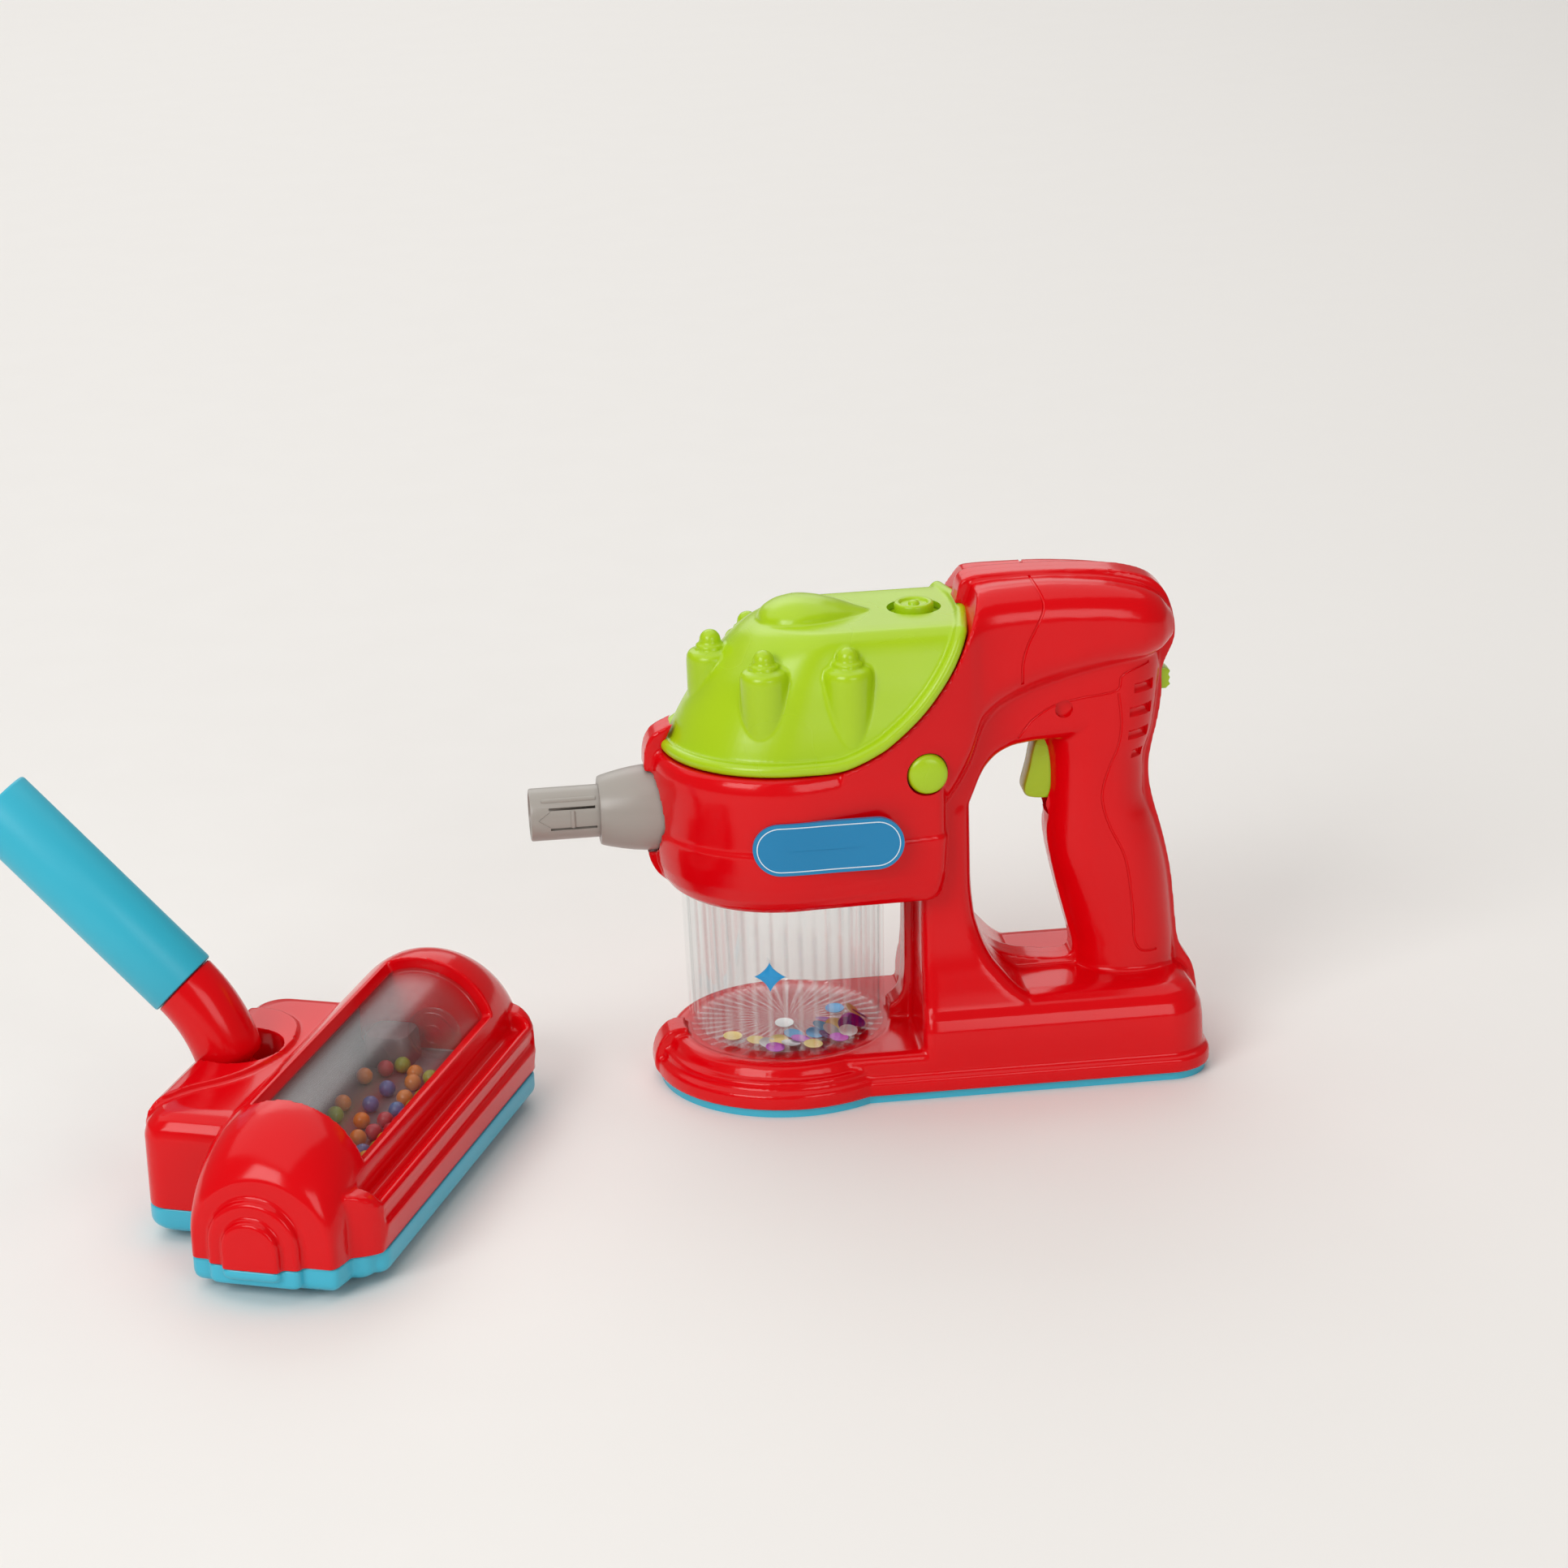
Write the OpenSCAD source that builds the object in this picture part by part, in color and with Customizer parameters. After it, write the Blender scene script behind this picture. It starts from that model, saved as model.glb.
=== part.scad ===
// Toy vacuum cleaner: a hand unit with a clear dust bin, and a floor head with a tube.
// The origin is the middle of the hand unit's underside, +X runs from the nozzle to the grip.

/* [Hand unit] */
// Grid that the outline tables of the hand unit are shares of
grid = 100; // [95:1:105]
// Wall of the red housing halves
hand_wall = 2.4; // [2:0.1:2.8]
// Width of the raised band along the seam
band_w = 12; // [10:0.5:14]
// Gap left around pieces that are let into a wall
gap = 0.4; // [0.3:0.05:0.5]

/* [Base] */
// Radius of the round front of the base
base_r = 49; // [48:0.5:50]
// Half of the width of the rear of the base
base_half = 42; // [41:0.5:43]
// How far the base reaches behind the origin
base_rear = 101; // [100:0.5:103]
// Place of the front of the raised rear of the base
base_block_x = -6.5; // [-7.5:0.5:-5.5]
// Thickness of the blue plate that shows below the housing
plate_t = 3; // [2.8:0.1:3.2]
// Length of the battery cover
cover_l = 62; // [61:0.5:63]
// Width of the battery cover
cover_w = 58; // [57:0.5:60]

/* [Dust bin] */
// Place of the axis of the bin along the hand unit
bin_x = -52; // [-53:0.5:-51]
// Height of the underside of the bin
bin_z = 18; // [17.5:0.5:18.5]
// Radius of the bin at its floor
bin_r = 36; // [35.5:0.1:36.5]
// Radius of the bin at its mouth
bin_mouth_r = 37.4; // [37:0.1:37.6]
// Height of the bin
bin_h = 66; // [64:0.5:68]
// Wall of the bin
bin_wall = 1.8; // [1.5:0.1:2.2]
// Radius of one sequin
sequin_r = 2.8; // [2:0.1:3]

/* [Collar and nozzle] */
// Radius of the round front of the collar
collar_r = 47; // [46.5:0.5:47.5]
// Height of the underside of the collar
collar_z = 75; // [74:0.5:76]
// Height of the rim that the dome stands on
rim_z = 131; // [130.5:0.5:131.5]
// Height of the axis of the nozzle
nozzle_z = 106; // [105:0.5:107]
// Radius of the plug of the nozzle
plug_r = 10; // [9.8:0.05:10.2]
// Length of the plug that shows
plug_l = 25; // [23:0.5:27]
// Radius of the nozzle sleeve at the housing
sleeve_r = 16; // [15.5:0.1:16.5]
// Length of the nozzle sleeve that shows
sleeve_l = 19; // [18:0.5:20]

/* [Dome] */
// Wall of the dome
dome_wall = 2.2; // [1.8:0.1:2.6]
// How far the bead along the rim stands out
bead = 1.5; // [1.2:0.1:1.8]
// Radius of one flask in relief
flask_r = 9; // [8.5:0.1:9.5]
// Radius of the button on the dome
dome_button_r = 7.1; // [6.8:0.1:7.4]
// Radius of the hole around that button
dome_hole_r = 9.8; // [9.5:0.1:10]

/* [Controls] */
// Radius of the round button on the side
side_button_r = 7.3; // [7:0.1:7.6]
// Travel of both buttons
press = 2; // [1.5:0.1:2.2]
// Travel of the slide switch
switch_travel = 5; // [4:0.5:5.5]
// Width of the trigger
trigger_w = 11; // [10:0.5:12]
// Radius of the pin of the trigger
trigger_pin_r = 2; // [1.8:0.05:2.2]

/* [Floor head] */
// Place of the head along X
head_x = -211.3; // [-230:1:-211]
// Place of the head along Y
head_y = -73.8; // [-95:1:-73]
// Turn of the head about the upright
head_yaw = -22.5; // [-30:0.5:-20]
// Wall of the head cover
head_wall = 2.4; // [2:0.1:2.6]
// Radius of the barrel over the balls
barrel_r = 29; // [28.5:0.1:29.5]
// Height of the axis of the barrel
barrel_z = 31; // [30.5:0.5:31.5]
// Half of the length of the barrel
barrel_half = 92; // [91:0.5:93]
// Height where the cover meets the tray
split_z = 12; // [11.5:0.5:12.5]
// Clear height under the tray
tray_z = 3; // [2.6:0.1:3.4]
// Half of the width of the window
window_half = 58; // [56:0.5:59]
// Radius of a front wheel
front_wheel_r = 10; // [9.8:0.1:10.2]
// Radius of a rear wheel
rear_wheel_r = 8; // [7.8:0.1:8.2]
// Radius of both axles
axle_r = 1.5; // [1.4:0.05:1.6]
// Radius of one ball
ball_r = 3; // [2.8:0.05:3]

/* [Neck and tube] */
// Slope of the tube above the floor
tube_slope = 44; // [43:0.5:45]
// Outer radius of the tube
tube_r = 13.2; // [13:0.1:13.4]
// Length of the tube
tube_l = 91; // [88:1:95]
// Radius of the neck
neck_r = 12.2; // [12:0.1:12.4]
// Radius that the neck bends along
neck_bend_r = 56; // [55:0.5:57]
// Radius of the pin that the neck turns on
neck_pin_r = 2.5; // [2.3:0.05:2.7]

/* [Hidden] */

RED = [0.84, 0.04, 0.1];
LIME = [0.67, 0.78, 0.1];
BLUE = [0.3, 0.74, 0.83];
GREY = [0.67, 0.64, 0.61];
CLEAR = [0.9, 0.93, 0.95, 0.4];
DARK = [0.16, 0.16, 0.17];
STEEL = [0.7, 0.7, 0.72];
GREEN_BOARD = [0.1, 0.45, 0.25];
BALL_COLOURS = [[0.88, 0.51, 0.16], [0.29, 0.43, 0.65], [0.75, 0.16, 0.22], [0.9, 0.65, 0.16],
    [0.59, 0.63, 0.2]];
SEQUIN_COLOURS = [[0.88, 0.76, 0.43], [0.75, 0.24, 0.75], [0.31, 0.59, 0.78],
    [0.86, 0.86, 0.86], [0.45, 0.08, 0.51]];

skin = 0.02;
far = 2 * grid;
facets = 28;
small_facets = 16;

// Grip slabs: height, front, back, half width and corner radius, in shares of the grid.
grip_shares = [[0.33, 0.55, 0.935, 0.2, 0.17], [0.42, 0.55, 0.93, 0.18, 0.165],
    [0.53, 0.525, 0.92, 0.17, 0.16], [0.67, 0.49, 0.91, 0.17, 0.16],
    [0.79, 0.465, 0.89, 0.165, 0.155], [0.9, 0.455, 0.86, 0.16, 0.15],
    [1.02, 0.47, 0.825, 0.155, 0.145], [1.14, 0.48, 0.825, 0.165, 0.15],
    [1.26, 0.46, 0.86, 0.18, 0.16]];
// Column slabs, with the same columns.
column_shares = [[0.32, -0.05, 0.36, 0.36, 0.1], [0.42, -0.05, 0.26, 0.33, 0.09],
    [0.48, -0.05, 0.21, 0.31, 0.085], [0.56, -0.05, 0.175, 0.295, 0.08],
    [0.66, -0.045, 0.15, 0.285, 0.075], [0.8, -0.04, 0.14, 0.29, 0.075],
    [1.04, -0.06, 0.14, 0.33, 0.075]];
// Handle slabs, upright: place along X, bottom, top, half width and corner radius.
handle_shares = [[-0.16, 0.92, 1.4, 0.38, 0.1], [0.03, 1, 1.66, 0.36, 0.11],
    [0.14, 1.2, 1.8, 0.32, 0.12], [0.2, 1.34, 1.845, 0.29, 0.13],
    [0.28, 1.41, 1.85, 0.27, 0.13], [0.42, 1.465, 1.85, 0.26, 0.13],
    [0.62, 1.515, 1.84, 0.25, 0.13], [0.78, 1.54, 1.81, 0.24, 0.12],
    [0.86, 1.565, 1.77, 0.205, 0.1], [0.912, 1.61, 1.7, 0.14, 0.044]];
// Trigger guard slabs under the handle, with the same columns.
guard_shares = [[0, 0.9, 1.3, 0.31, 0.06], [0.14, 1.06, 1.42, 0.265, 0.06],
    [0.2, 1.17, 1.48, 0.24, 0.06], [0.28, 1.225, 1.52, 0.212, 0.06], [0.42, 1.23, 1.6, 0.192, 0.06],
    [0.7, 1.23, 1.6, 0.178, 0.06], [0.8, 1.22, 1.6, 0.15, 0.06], [0.875, 1.27, 1.58, 0.105, 0.06]];
// Low slabs of the base around the bin: height and half width.
base_low_shares = [[0.03, 0.42], [0.13, 0.42], [0.18, 0.38]];
base_low_back = 20;
base_low_corner = 10;
// Slabs of the rear of the base: height, back, half width and corner radius.
base_shares = [[0.03, 1.01, 0.42, 0.16], [0.14, 1.01, 0.42, 0.16], [0.26, 1, 0.405, 0.15],
    [0.34, 0.945, 0.35, 0.13]];
// Stepped rim of the round front: how far in and how high, in shares of one step.
base_rim = 4;
base_rim_shares = [[0, 2], [0.5, 3], [1, 3], [1, 4]];
// Dome slabs: height, middle of the round front and half width.
dome_shares = [[1.24, -0.51, 0.43], [1.31, -0.5, 0.42], [1.4, -0.48, 0.4], [1.55, -0.435, 0.355],
    [1.68, -0.375, 0.3], [1.73, -0.345, 0.275], [1.75, -0.325, 0.255]];
// Rim of the dome along the side of the housing: X and Z.
rim_shares = [[-1.2, 1.31], [-0.3, 1.31], [-0.22, 1.34], [-0.1, 1.43], [0.03, 1.57], [0.13, 1.71],
    [0.19, 1.81], [0.19, 2.1], [-1.2, 2.1]];
// Band around the handle, the back and the opening: X and Z.
band_outer_shares = [[0.13, 1.78], [0.16, 1.86], [0.22, 1.87], [0.5, 1.87], [0.75, 1.85],
    [0.86, 1.81], [0.9, 1.75], [0.935, 1.62], [0.93, 1.56], [0.88, 1.48], [0.885, 1.36],
    [0.845, 1.22], [0.825, 1.1], [0.88, 0.86], [0.92, 0.6], [0.94, 0.4], [1, 0.32], [1.02, 0.1],
    [1.02, 0.03], [0.3, 0.03], [-0.09, 0.03], [-0.1, 0.6], [-0.1, 1.1], [-0.05, 1.45]];
opening_shares = [[0.145, 0.72], [0.16, 0.6], [0.19, 0.5], [0.25, 0.42], [0.34, 0.385],
    [0.5, 0.37], [0.545, 0.4], [0.53, 0.5], [0.49, 0.66], [0.455, 0.8], [0.45, 0.92], [0.43, 1.2],
    [0.32, 1.2], [0.22, 1.16], [0.16, 1.07], [0.14, 0.95]];
// Band on the front of the collar and of the base: X and Z.
collar_band_shares = [[-0.97, 1.36], [-0.99, 1.33], [-1.01, 1.26], [-1.01, 0.9], [-0.96, 0.79],
    [-0.8, 0.76], [-0.8, 1.36]];
base_band_shares = [[-1.02, 0.03], [-1.02, 0.1], [-0.99, 0.18], [-0.94, 0.21], [-0.9, 0.2],
    [-0.85, 0.03]];

// Screws that close the two housing halves: X and Z in shares of the grid.
screw_shares = [[0.5, 1.41], [0.78, 1.68], [0.68, 0.7], [0.04, 0.88], [0.9, 0.2], [0, 0.2]];
screw_r = 1.4;
screw_head_r = 3;
screw_head_t = 2.2;
screw_l = 14;
screw_sink = 8;
boss_r = 4.2;
post_r = 2.5;
pilot = 0.4;

// Rounded edges: shares of the radius that a step is inset and raised by.
round_shares = [[1, 0], [0.3, 0.3], [0, 1]];
collar_round = 12;
collar_rear_round = 4;
collar_rear_x = 6.5;
collar_rear_half = 27;
collar_rear_r = 6;
sleeve_x = bin_x - collar_r;
// Outline of the sleeve: shares of its radius and of its length.
sleeve_shares = [[1, 0], [1, 0.2], [0.97, 0.5], [0.905, 0.86], [0.812, 1]];
sleeve_flange_r = 18.5;
sleeve_in = 8;
sleeve_flange_x = sleeve_x + sleeve_in;
sleeve_flange_t = 2.5;
sleeve_bore_r = plug_r - gap / 2;
plug_wall = 2;
plug_flange_t = 3;
plate_inset = 1.5;
plate_in_t = 2;
plate_top = plate_t + plate_in_t;
rail = 1.2;
cover_x = 26;
cover_t = 2.5;
cover_ledge = 3;
cover_tab = 4;
box_wall = 1.6;
box_h = 16;
cell_r = 7.1;
cell_l = 50;
cell_step = 16;
box_x = cover_x + cover_ledge;
box_l = cover_l - cover_tab - 2 * cover_ledge;
box_w = cover_w - 2 * cover_ledge;
cover_screw_x = box_x + box_l + box_wall + rail;

bin_floor = 2;
bin_top = bin_z + bin_h;
cap_t = 2;
cap_lip = 4;
cap_post_r = 2.2;
cap_post_at = 30;
cap_slot_w = 3;
cap_post_h = 14;
motor_z = bin_top + cap_t + cap_post_h;
motor_plate_t = 2;
motor_plate_r = 34;
motor_r = 12;
motor_h = 22;
shaft_r = 1;
shaft_fit = 0.05;
fan_r = 25;
fan_z = bin_top + cap_t + 3;
fan_h = 8;
fan_hub_r = 5;
fan_blades = 7;
blade_t = 1.2;
speaker_r = 16;
speaker_h = 7;
flask_places = [[-74, 0], [-58.5, 28], [-58.5, -28], [-29.5, 33], [-29.5, -33]];
flask_low = 148;
flask_high = 164;
flask_ball_r = 3.6;
flask_ball_share = 1.5;
flask_foot_share = 1.6;
egg_x = -38;
egg_top_share = 0.38;
egg_r = 18;
egg_w_share = 0.8;
dome_top = dome_shares[6][0] * grid;
dome_button_x = -1;
dome_button_h = 6;
cradle_t = 2;
button_flange = 2.5;
button_flange_t = 1.5;
switch_h = 4;
switch_w = 7;
dome_switch_z = dome_top - dome_wall - button_flange_t - press - 2 * gap - switch_h;
side_x = -2.9;
side_z = 124.4;
side_face = -40;
side_flange_y = -32.8;
side_switch_y = side_flange_y + button_flange_t + press + gap;
bracket_l = 30;
knob_z = 138.5;
knob_h = 8;
knob_w = 7;
knob_x = 85;
knob_out = 92;
knob_plate = 2;
knob_plate_h = 18;
knob_body = 7;
// Trigger outline: X and Z in shares of the grid.
trigger_shares = [[0.4, 1.2], [0.5, 1.25], [0.5, 1.32], [0.58, 1.32], [0.58, 1.06],
    [0.5, 1.005], [0.42, 1.01], [0.375, 1.05], [0.37, 1.13]];
trigger_x = 54;
trigger_z = 128;
trigger_slot = [36, 66, 94, 137];
pin_half = 12;
trigger_switch_x = 62;
trigger_switch_size = [12, 8, 8];
trigger_switch_z = 103;
board_at = [28, 2, 150];
board_size = [38, 1.6, 20];
label_x = -40;
label_z = 103;
label_l = 54;
label_h = 19;
sticker_t = 0.3;
sticker_off = 0.1;
star_r = 5.7;
star_waist_share = 0.36;
star_turn = 15;
star_z = 50.4;

// Slabs of the head's barrel: place along its axis, half width and top, in shares of its radius.
barrel_shares = [[0, 0.965, 2.07], [2.3, 0.965, 2.07], [2.65, 0.96, 2], [2.92, 0.945, 1.86],
    [3.1, 0.915, 1.66], [3.172, 0.87, 1.48]];
step_half = [16, 10];
step_top = [35, 29];
step_out = [3, 6];
step_shift = -2;
rear_back = -55;
rear_half = 55;
rear_top = 47;
rear_round = 9;
rear_front = -10;
saddle_t = 2;
saddle_half = 40;
hole_u = -44;
hole_r = 16.5;
hole_depth = 12.5;
skirt_out = 37;
ear_u = 23;
skirt_half = 79;
skirt_top = 34;
skirt_low = 21;
ear_half = 84;
ear_r = 11;
window_t = 1.6;
window_from = 12;
window_to = 118;
window_land = 1;
window_steps = 8;
trough_z = 40;
trough_r = 22;
trough_t = 1.2;
trough_half = 57;
trough_from = 180;
trough_to = 350;
ball_rows = [-92, -72, -52];
ball_step = 11.5;
ball_first = -51;
ball_count = 9;
tray_t = 2;
tray_wall = 2.4;
wheel_t = 9;
wheel_slot = 1;
front_wheel_at = 80;
rear_wheel_at = 44;
rear_u = -45;
bearing_r = 4;
bearing_t = 4;
cam_r = 3.8;
cam_lobe = 1;
neck_foot_slope = 75;
neck_pin_z = 33;
neck_pin_u = -44.6;
neck_hub_r = 7;
neck_hub_half = 10;
neck_rise = 12;
neck_spigot_r = 10;
neck_spigot_l = 20;
tube_bore_r = 10.2;
tube_stop_r = 8.6;
tube_socket_r = 10.25;
tube_socket_l = 60;
pin_cheek = 4;
head_screw_places = [[-31, 46], [-31, -46], [20, 63], [20, -63]];
head_screw_l = 12;

function scaled(points, size) = [for (p = points) p * size];

// A flat slab at height z with rounded upright corners.
module slab(z, front, back, half, corner) {
    for (x = [front + corner, back - corner], y = [-1, 1])
        translate([x, y * (half - corner), z]) cylinder(r = corner, h = skin, $fn = small_facets);
}

// An upright slab across X with rounded edges.
module upright_slab(x, low, high, half, corner) {
    for (z = [low + corner, high - corner], y = [-1, 1])
        translate([x, y * (half - corner), z])
            rotate([0, 90, 0]) cylinder(r = corner, h = skin, $fn = small_facets);
}

// Forms of the hand unit, each drawn inset by d.
module grip_form(d) {
    for (i = [0:len(grip_shares) - 2]) hull() for (k = [i, i + 1]) {
        s = grip_shares[k] * grid;
        slab(s[0], s[1] + d, s[2] - d, s[3] - d, s[4] - d);
    }
}

module column_form(d) {
    for (i = [0:len(column_shares) - 2]) hull() for (k = [i, i + 1]) {
        s = column_shares[k] * grid;
        slab(s[0], s[1] + d, s[2] - d, s[3] - d, s[4] - d);
    }
}

module upright_form(shares, d) {
    for (i = [0:len(shares) - 2]) hull() for (k = [i, i + 1]) {
        s = shares[k] * grid;
        upright_slab(s[0] + (k == 0 ? d : 0) - (k == len(shares) - 1 ? d : 0),
            s[1] + d, s[2] - d, s[3] - d, s[4] - d);
    }
}

module base_rear_form(d) {
    for (i = [0:len(base_shares) - 2]) hull() for (k = [i, i + 1]) {
        s = base_shares[k] * grid;
        top_step = k == len(base_shares) - 1 ? d : 0;
        slab(s[0] - top_step, base_block_x + d, s[1] - d, s[2] - d, s[3] - d);
    }
}

module base_low_form(d) {
    for (i = [0:len(base_low_shares) - 2]) hull() for (k = [i, i + 1]) {
        s = base_low_shares[k] * grid;
        top_step = k == len(base_low_shares) - 1 ? d : 0;
        slab(s[0] - top_step, bin_x + d, base_low_back - d, s[1] - d, base_low_corner - d);
    }
}

module base_front_form(d) {
    translate([bin_x, 0, 0]) rotate_extrude($fn = 2 * facets)
        polygon([[0, plate_t], [base_r - d, plate_t],
            for (p = base_rim_shares) [base_r - p[0] * base_rim - d, p[1] * base_rim - d],
            [base_r - 2 * base_rim - d, bin_z - d], [0, bin_z - d]]);
}

module collar_plan(d, rear_d) {
    hull() {
        translate([bin_x, 0]) circle(r = collar_r - d, $fn = 3 * facets);
        for (y = [-1, 1]) translate([collar_rear_x - rear_d, y * (collar_rear_half - rear_d)])
            circle(r = collar_rear_r, $fn = facets);
    }
}

module collar_form(d) {
    hull() {
        for (step = round_shares)
            translate([0, 0, collar_z + d + step[1] * collar_round]) linear_extrude(skin)
                collar_plan(d + step[0] * collar_round, d + step[0] * collar_rear_round);
        translate([0, 0, rim_z]) linear_extrude(skin) collar_plan(d, d);
    }
}

module band_plate(points, t) {
    rotate([90, 0, 0]) translate([0, 0, -t / 2]) linear_extrude(t) polygon(scaled(points, grid));
}

module bands() {
    difference() {
        band_plate(band_outer_shares, band_w);
        band_plate(opening_shares, 2 * band_w);
    }
    band_plate(collar_band_shares, band_w);
    band_plate(base_band_shares, band_w);
}

module hand_forms(d) {
    grip_form(d);
    column_form(d);
    upright_form(handle_shares, d);
    upright_form(guard_shares, d);
    base_rear_form(d);
    base_low_form(d);
    base_front_form(d);
    collar_form(d);
}

// The dome's own volume, grown by d.
module dome_volume(d) {
    last = len(dome_shares) - 1;
    for (i = [0:last - 1]) hull() for (k = [i, i + 1]) {
        s = dome_shares[k] * grid;
        translate([0, 0, s[0] + (k == last ? d : 0)]) {
            translate([s[1], 0, 0]) cylinder(r = s[2] + d, h = skin, $fn = 2 * facets);
            translate([s[1], -s[2] - d, 0]) cube([base_half - s[1], 2 * (s[2] + d), skin]);
        }
    }
}

module rim_region(d) {
    rotate([90, 0, 0]) translate([0, 0, -grid]) linear_extrude(far)
        offset(delta = d) polygon(scaled(rim_shares, grid));
}

module dome_cut() {
    intersection() {
        dome_volume(bead + gap);
        rim_region(gap);
    }
}

module screw_bore(p, r, from, to) {
    translate([p[0], from, p[1]]) rotate([-90, 0, 0]) cylinder(r = r, h = to - from, $fn = facets);
}

// Bracket on the near half that carries the switch behind the side button.
module side_switch_bracket() {
    back = side_switch_y + switch_h;
    translate([side_x - switch_w / 2, back, side_z - bracket_l])
        cube([switch_w, cradle_t, bracket_l + switch_w / 2]);
    translate([side_x - switch_w / 2, -grid, side_z - bracket_l])
        cube([switch_w, grid + back + cradle_t, cradle_t]);
}

module housing_solid() {
    difference() {
        union() {
            difference() {
                union() {
                    hand_forms(0);
                    bands();
                }
                hand_forms(hand_wall);
                translate([0, 0, -grid]) cube([far * 2, far * 2, 2 * (grid + plate_t)], center = true);
            }
            intersection() {
                union() {
                    for (p = scaled(screw_shares, grid)) screw_bore(p, boss_r, -grid, grid);
                    screw_bore([trigger_x, trigger_z], boss_r, -grid, -trigger_w / 2 - gap);
                    screw_bore([trigger_x, trigger_z], boss_r, trigger_w / 2 + gap, grid);
                    for (x = [post_r, board_size[0] - post_r], z = [post_r, board_size[2] - post_r])
                        screw_bore([board_at[0] + x, board_at[2] + z], post_r,
                            board_at[1] + board_size[1], grid);
                    screw_bore([trigger_switch_x + boss_r, trigger_switch_z + boss_r], post_r,
                        trigger_switch_size[1] / 2, grid);
                    side_switch_bracket();
                }
                hand_forms(skin);
            }
        }
        dome_cut();
        translate([bin_x, 0, bin_z]) cylinder(r = bin_mouth_r + gap, h = bin_h, $fn = 2 * facets);
        translate([sleeve_flange_x, 0, nozzle_z]) rotate([0, -90, 0])
            cylinder(r = sleeve_r + gap, h = grid, $fn = 2 * facets);
        translate([side_x, side_flange_y, side_z]) rotate([90, 0, 0])
            cylinder(r = side_button_r + gap, h = grid, $fn = 2 * facets);
        translate([side_x, side_flange_y - gap, side_z]) rotate([-90, 0, 0])
            cylinder(r = side_button_r + button_flange + gap,
                h = button_flange_t + press + 2 * gap, $fn = 2 * facets);
        translate([trigger_slot[0], -trigger_w / 2 - gap, trigger_slot[2]])
            cube([trigger_slot[1] - trigger_slot[0], trigger_w + 2 * gap,
                trigger_slot[3] - trigger_slot[2]]);
        translate([knob_x, -knob_w / 2 - gap, knob_z - gap])
            cube([grid, knob_w + 2 * gap, knob_h + switch_travel + 2 * gap]);
        for (i = [0:len(screw_shares) - 1]) {
            p = screw_shares[i] * grid;
            side = i == 0 ? -1 : 1;
            screw_bore(p, screw_r + pilot, -screw_l, screw_l);
            if (side < 0) screw_bore(p, screw_head_r + gap, -grid, -screw_sink);
            else screw_bore(p, screw_head_r + gap, screw_sink, grid);
        }
        screw_bore([trigger_x, trigger_z], trigger_pin_r + gap, -pin_half - gap, pin_half + gap);
    }
}

module housing_near() {
    color(RED) intersection() {
        housing_solid();
        translate([-far, -far, -far]) cube([2 * far, far, 2 * far]);
    }
}

module housing_far() {
    color(RED) intersection() {
        housing_solid();
        translate([-far, 0, -far]) cube([2 * far, far, 2 * far]);
    }
}

module housing_screws() {
    color(STEEL) for (i = [0:len(screw_shares) - 1]) {
        p = screw_shares[i] * grid;
        side = i == 0 ? -1 : 1;
        screw_head = side * screw_sink;
        translate([p[0], screw_head, p[1]]) rotate([side * -90, 0, 0]) {
            cylinder(r = screw_head_r, h = screw_head_t);
            translate([0, 0, -screw_l]) cylinder(r = screw_r, h = screw_l);
        }
    }
}

// Outline of the base plate, drawn inset by d.
module plate_outline(d) {
    corner = base_shares[0][3] * grid;
    translate([bin_x, 0]) circle(r = base_r - d);
    translate([bin_x, d - base_half]) square([base_rear - corner - bin_x, 2 * (base_half - d)]);
    translate([0, corner - base_half]) square([base_rear - d, 2 * (base_half - corner)]);
    for (y = [-1, 1]) translate([base_rear - corner, y * (base_half - corner)]) circle(r = corner - d);
}

module base_plate() {
    color(BLUE) difference() {
        union() {
            linear_extrude(plate_t) plate_outline(plate_inset);
            translate([0, 0, plate_t]) linear_extrude(plate_in_t) plate_outline(hand_wall + gap);
        }
        translate([cover_x - gap, -cover_w / 2 - gap, -skin])
            cube([cover_l + 2 * gap, cover_w + 2 * gap, cover_t + gap + skin]);
        translate([box_x, -box_w / 2, 0]) cube([box_l, box_w, 2 * plate_top]);
        translate([cover_screw_x, 0, 0]) cylinder(r = screw_r + gap, h = 2 * plate_top);
        for (x = [-2:2]) translate([bin_x + x * speaker_r / 3, 0, plate_top / 2])
            cube([cap_slot_w, speaker_r, 2 * plate_top], center = true);
    }
}

module battery_cover() {
    color(BLUE) difference() {
        translate([cover_x, -cover_w / 2, 0]) cube([cover_l, cover_w, cover_t]);
        translate([cover_screw_x, 0, -skin]) cylinder(r = screw_r + gap, h = 2 * cover_t);
        translate([cover_screw_x, 0, -skin]) cylinder(r = screw_head_r - gap, h = cover_t / 2);
    }
}

module battery_cover_screw() {
    head_r = screw_head_r - 2 * gap;
    color(STEEL) translate([cover_screw_x, 0, gap]) {
        cylinder(r = head_r, h = cover_t / 2 - gap - skin);
        cylinder(r = screw_r, h = screw_l / 2);
    }
}

module battery_box() {
    color(DARK) difference() {
        translate([box_x - box_wall, -box_w / 2 - box_wall, plate_top])
            cube([box_l + 2 * box_wall - rail, box_w + 2 * box_wall, box_h]);
        translate([box_x, -box_w / 2, plate_top - skin])
            cube([box_l - rail, box_w, box_h - box_wall + skin]);
    }
}

module batteries() {
    color(STEEL) for (i = [-1, 0, 1])
        translate([box_x + gap, i * cell_step, plate_top + cell_r - box_wall]) rotate([0, 90, 0])
            cylinder(r = cell_r, h = cell_l);
}

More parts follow.
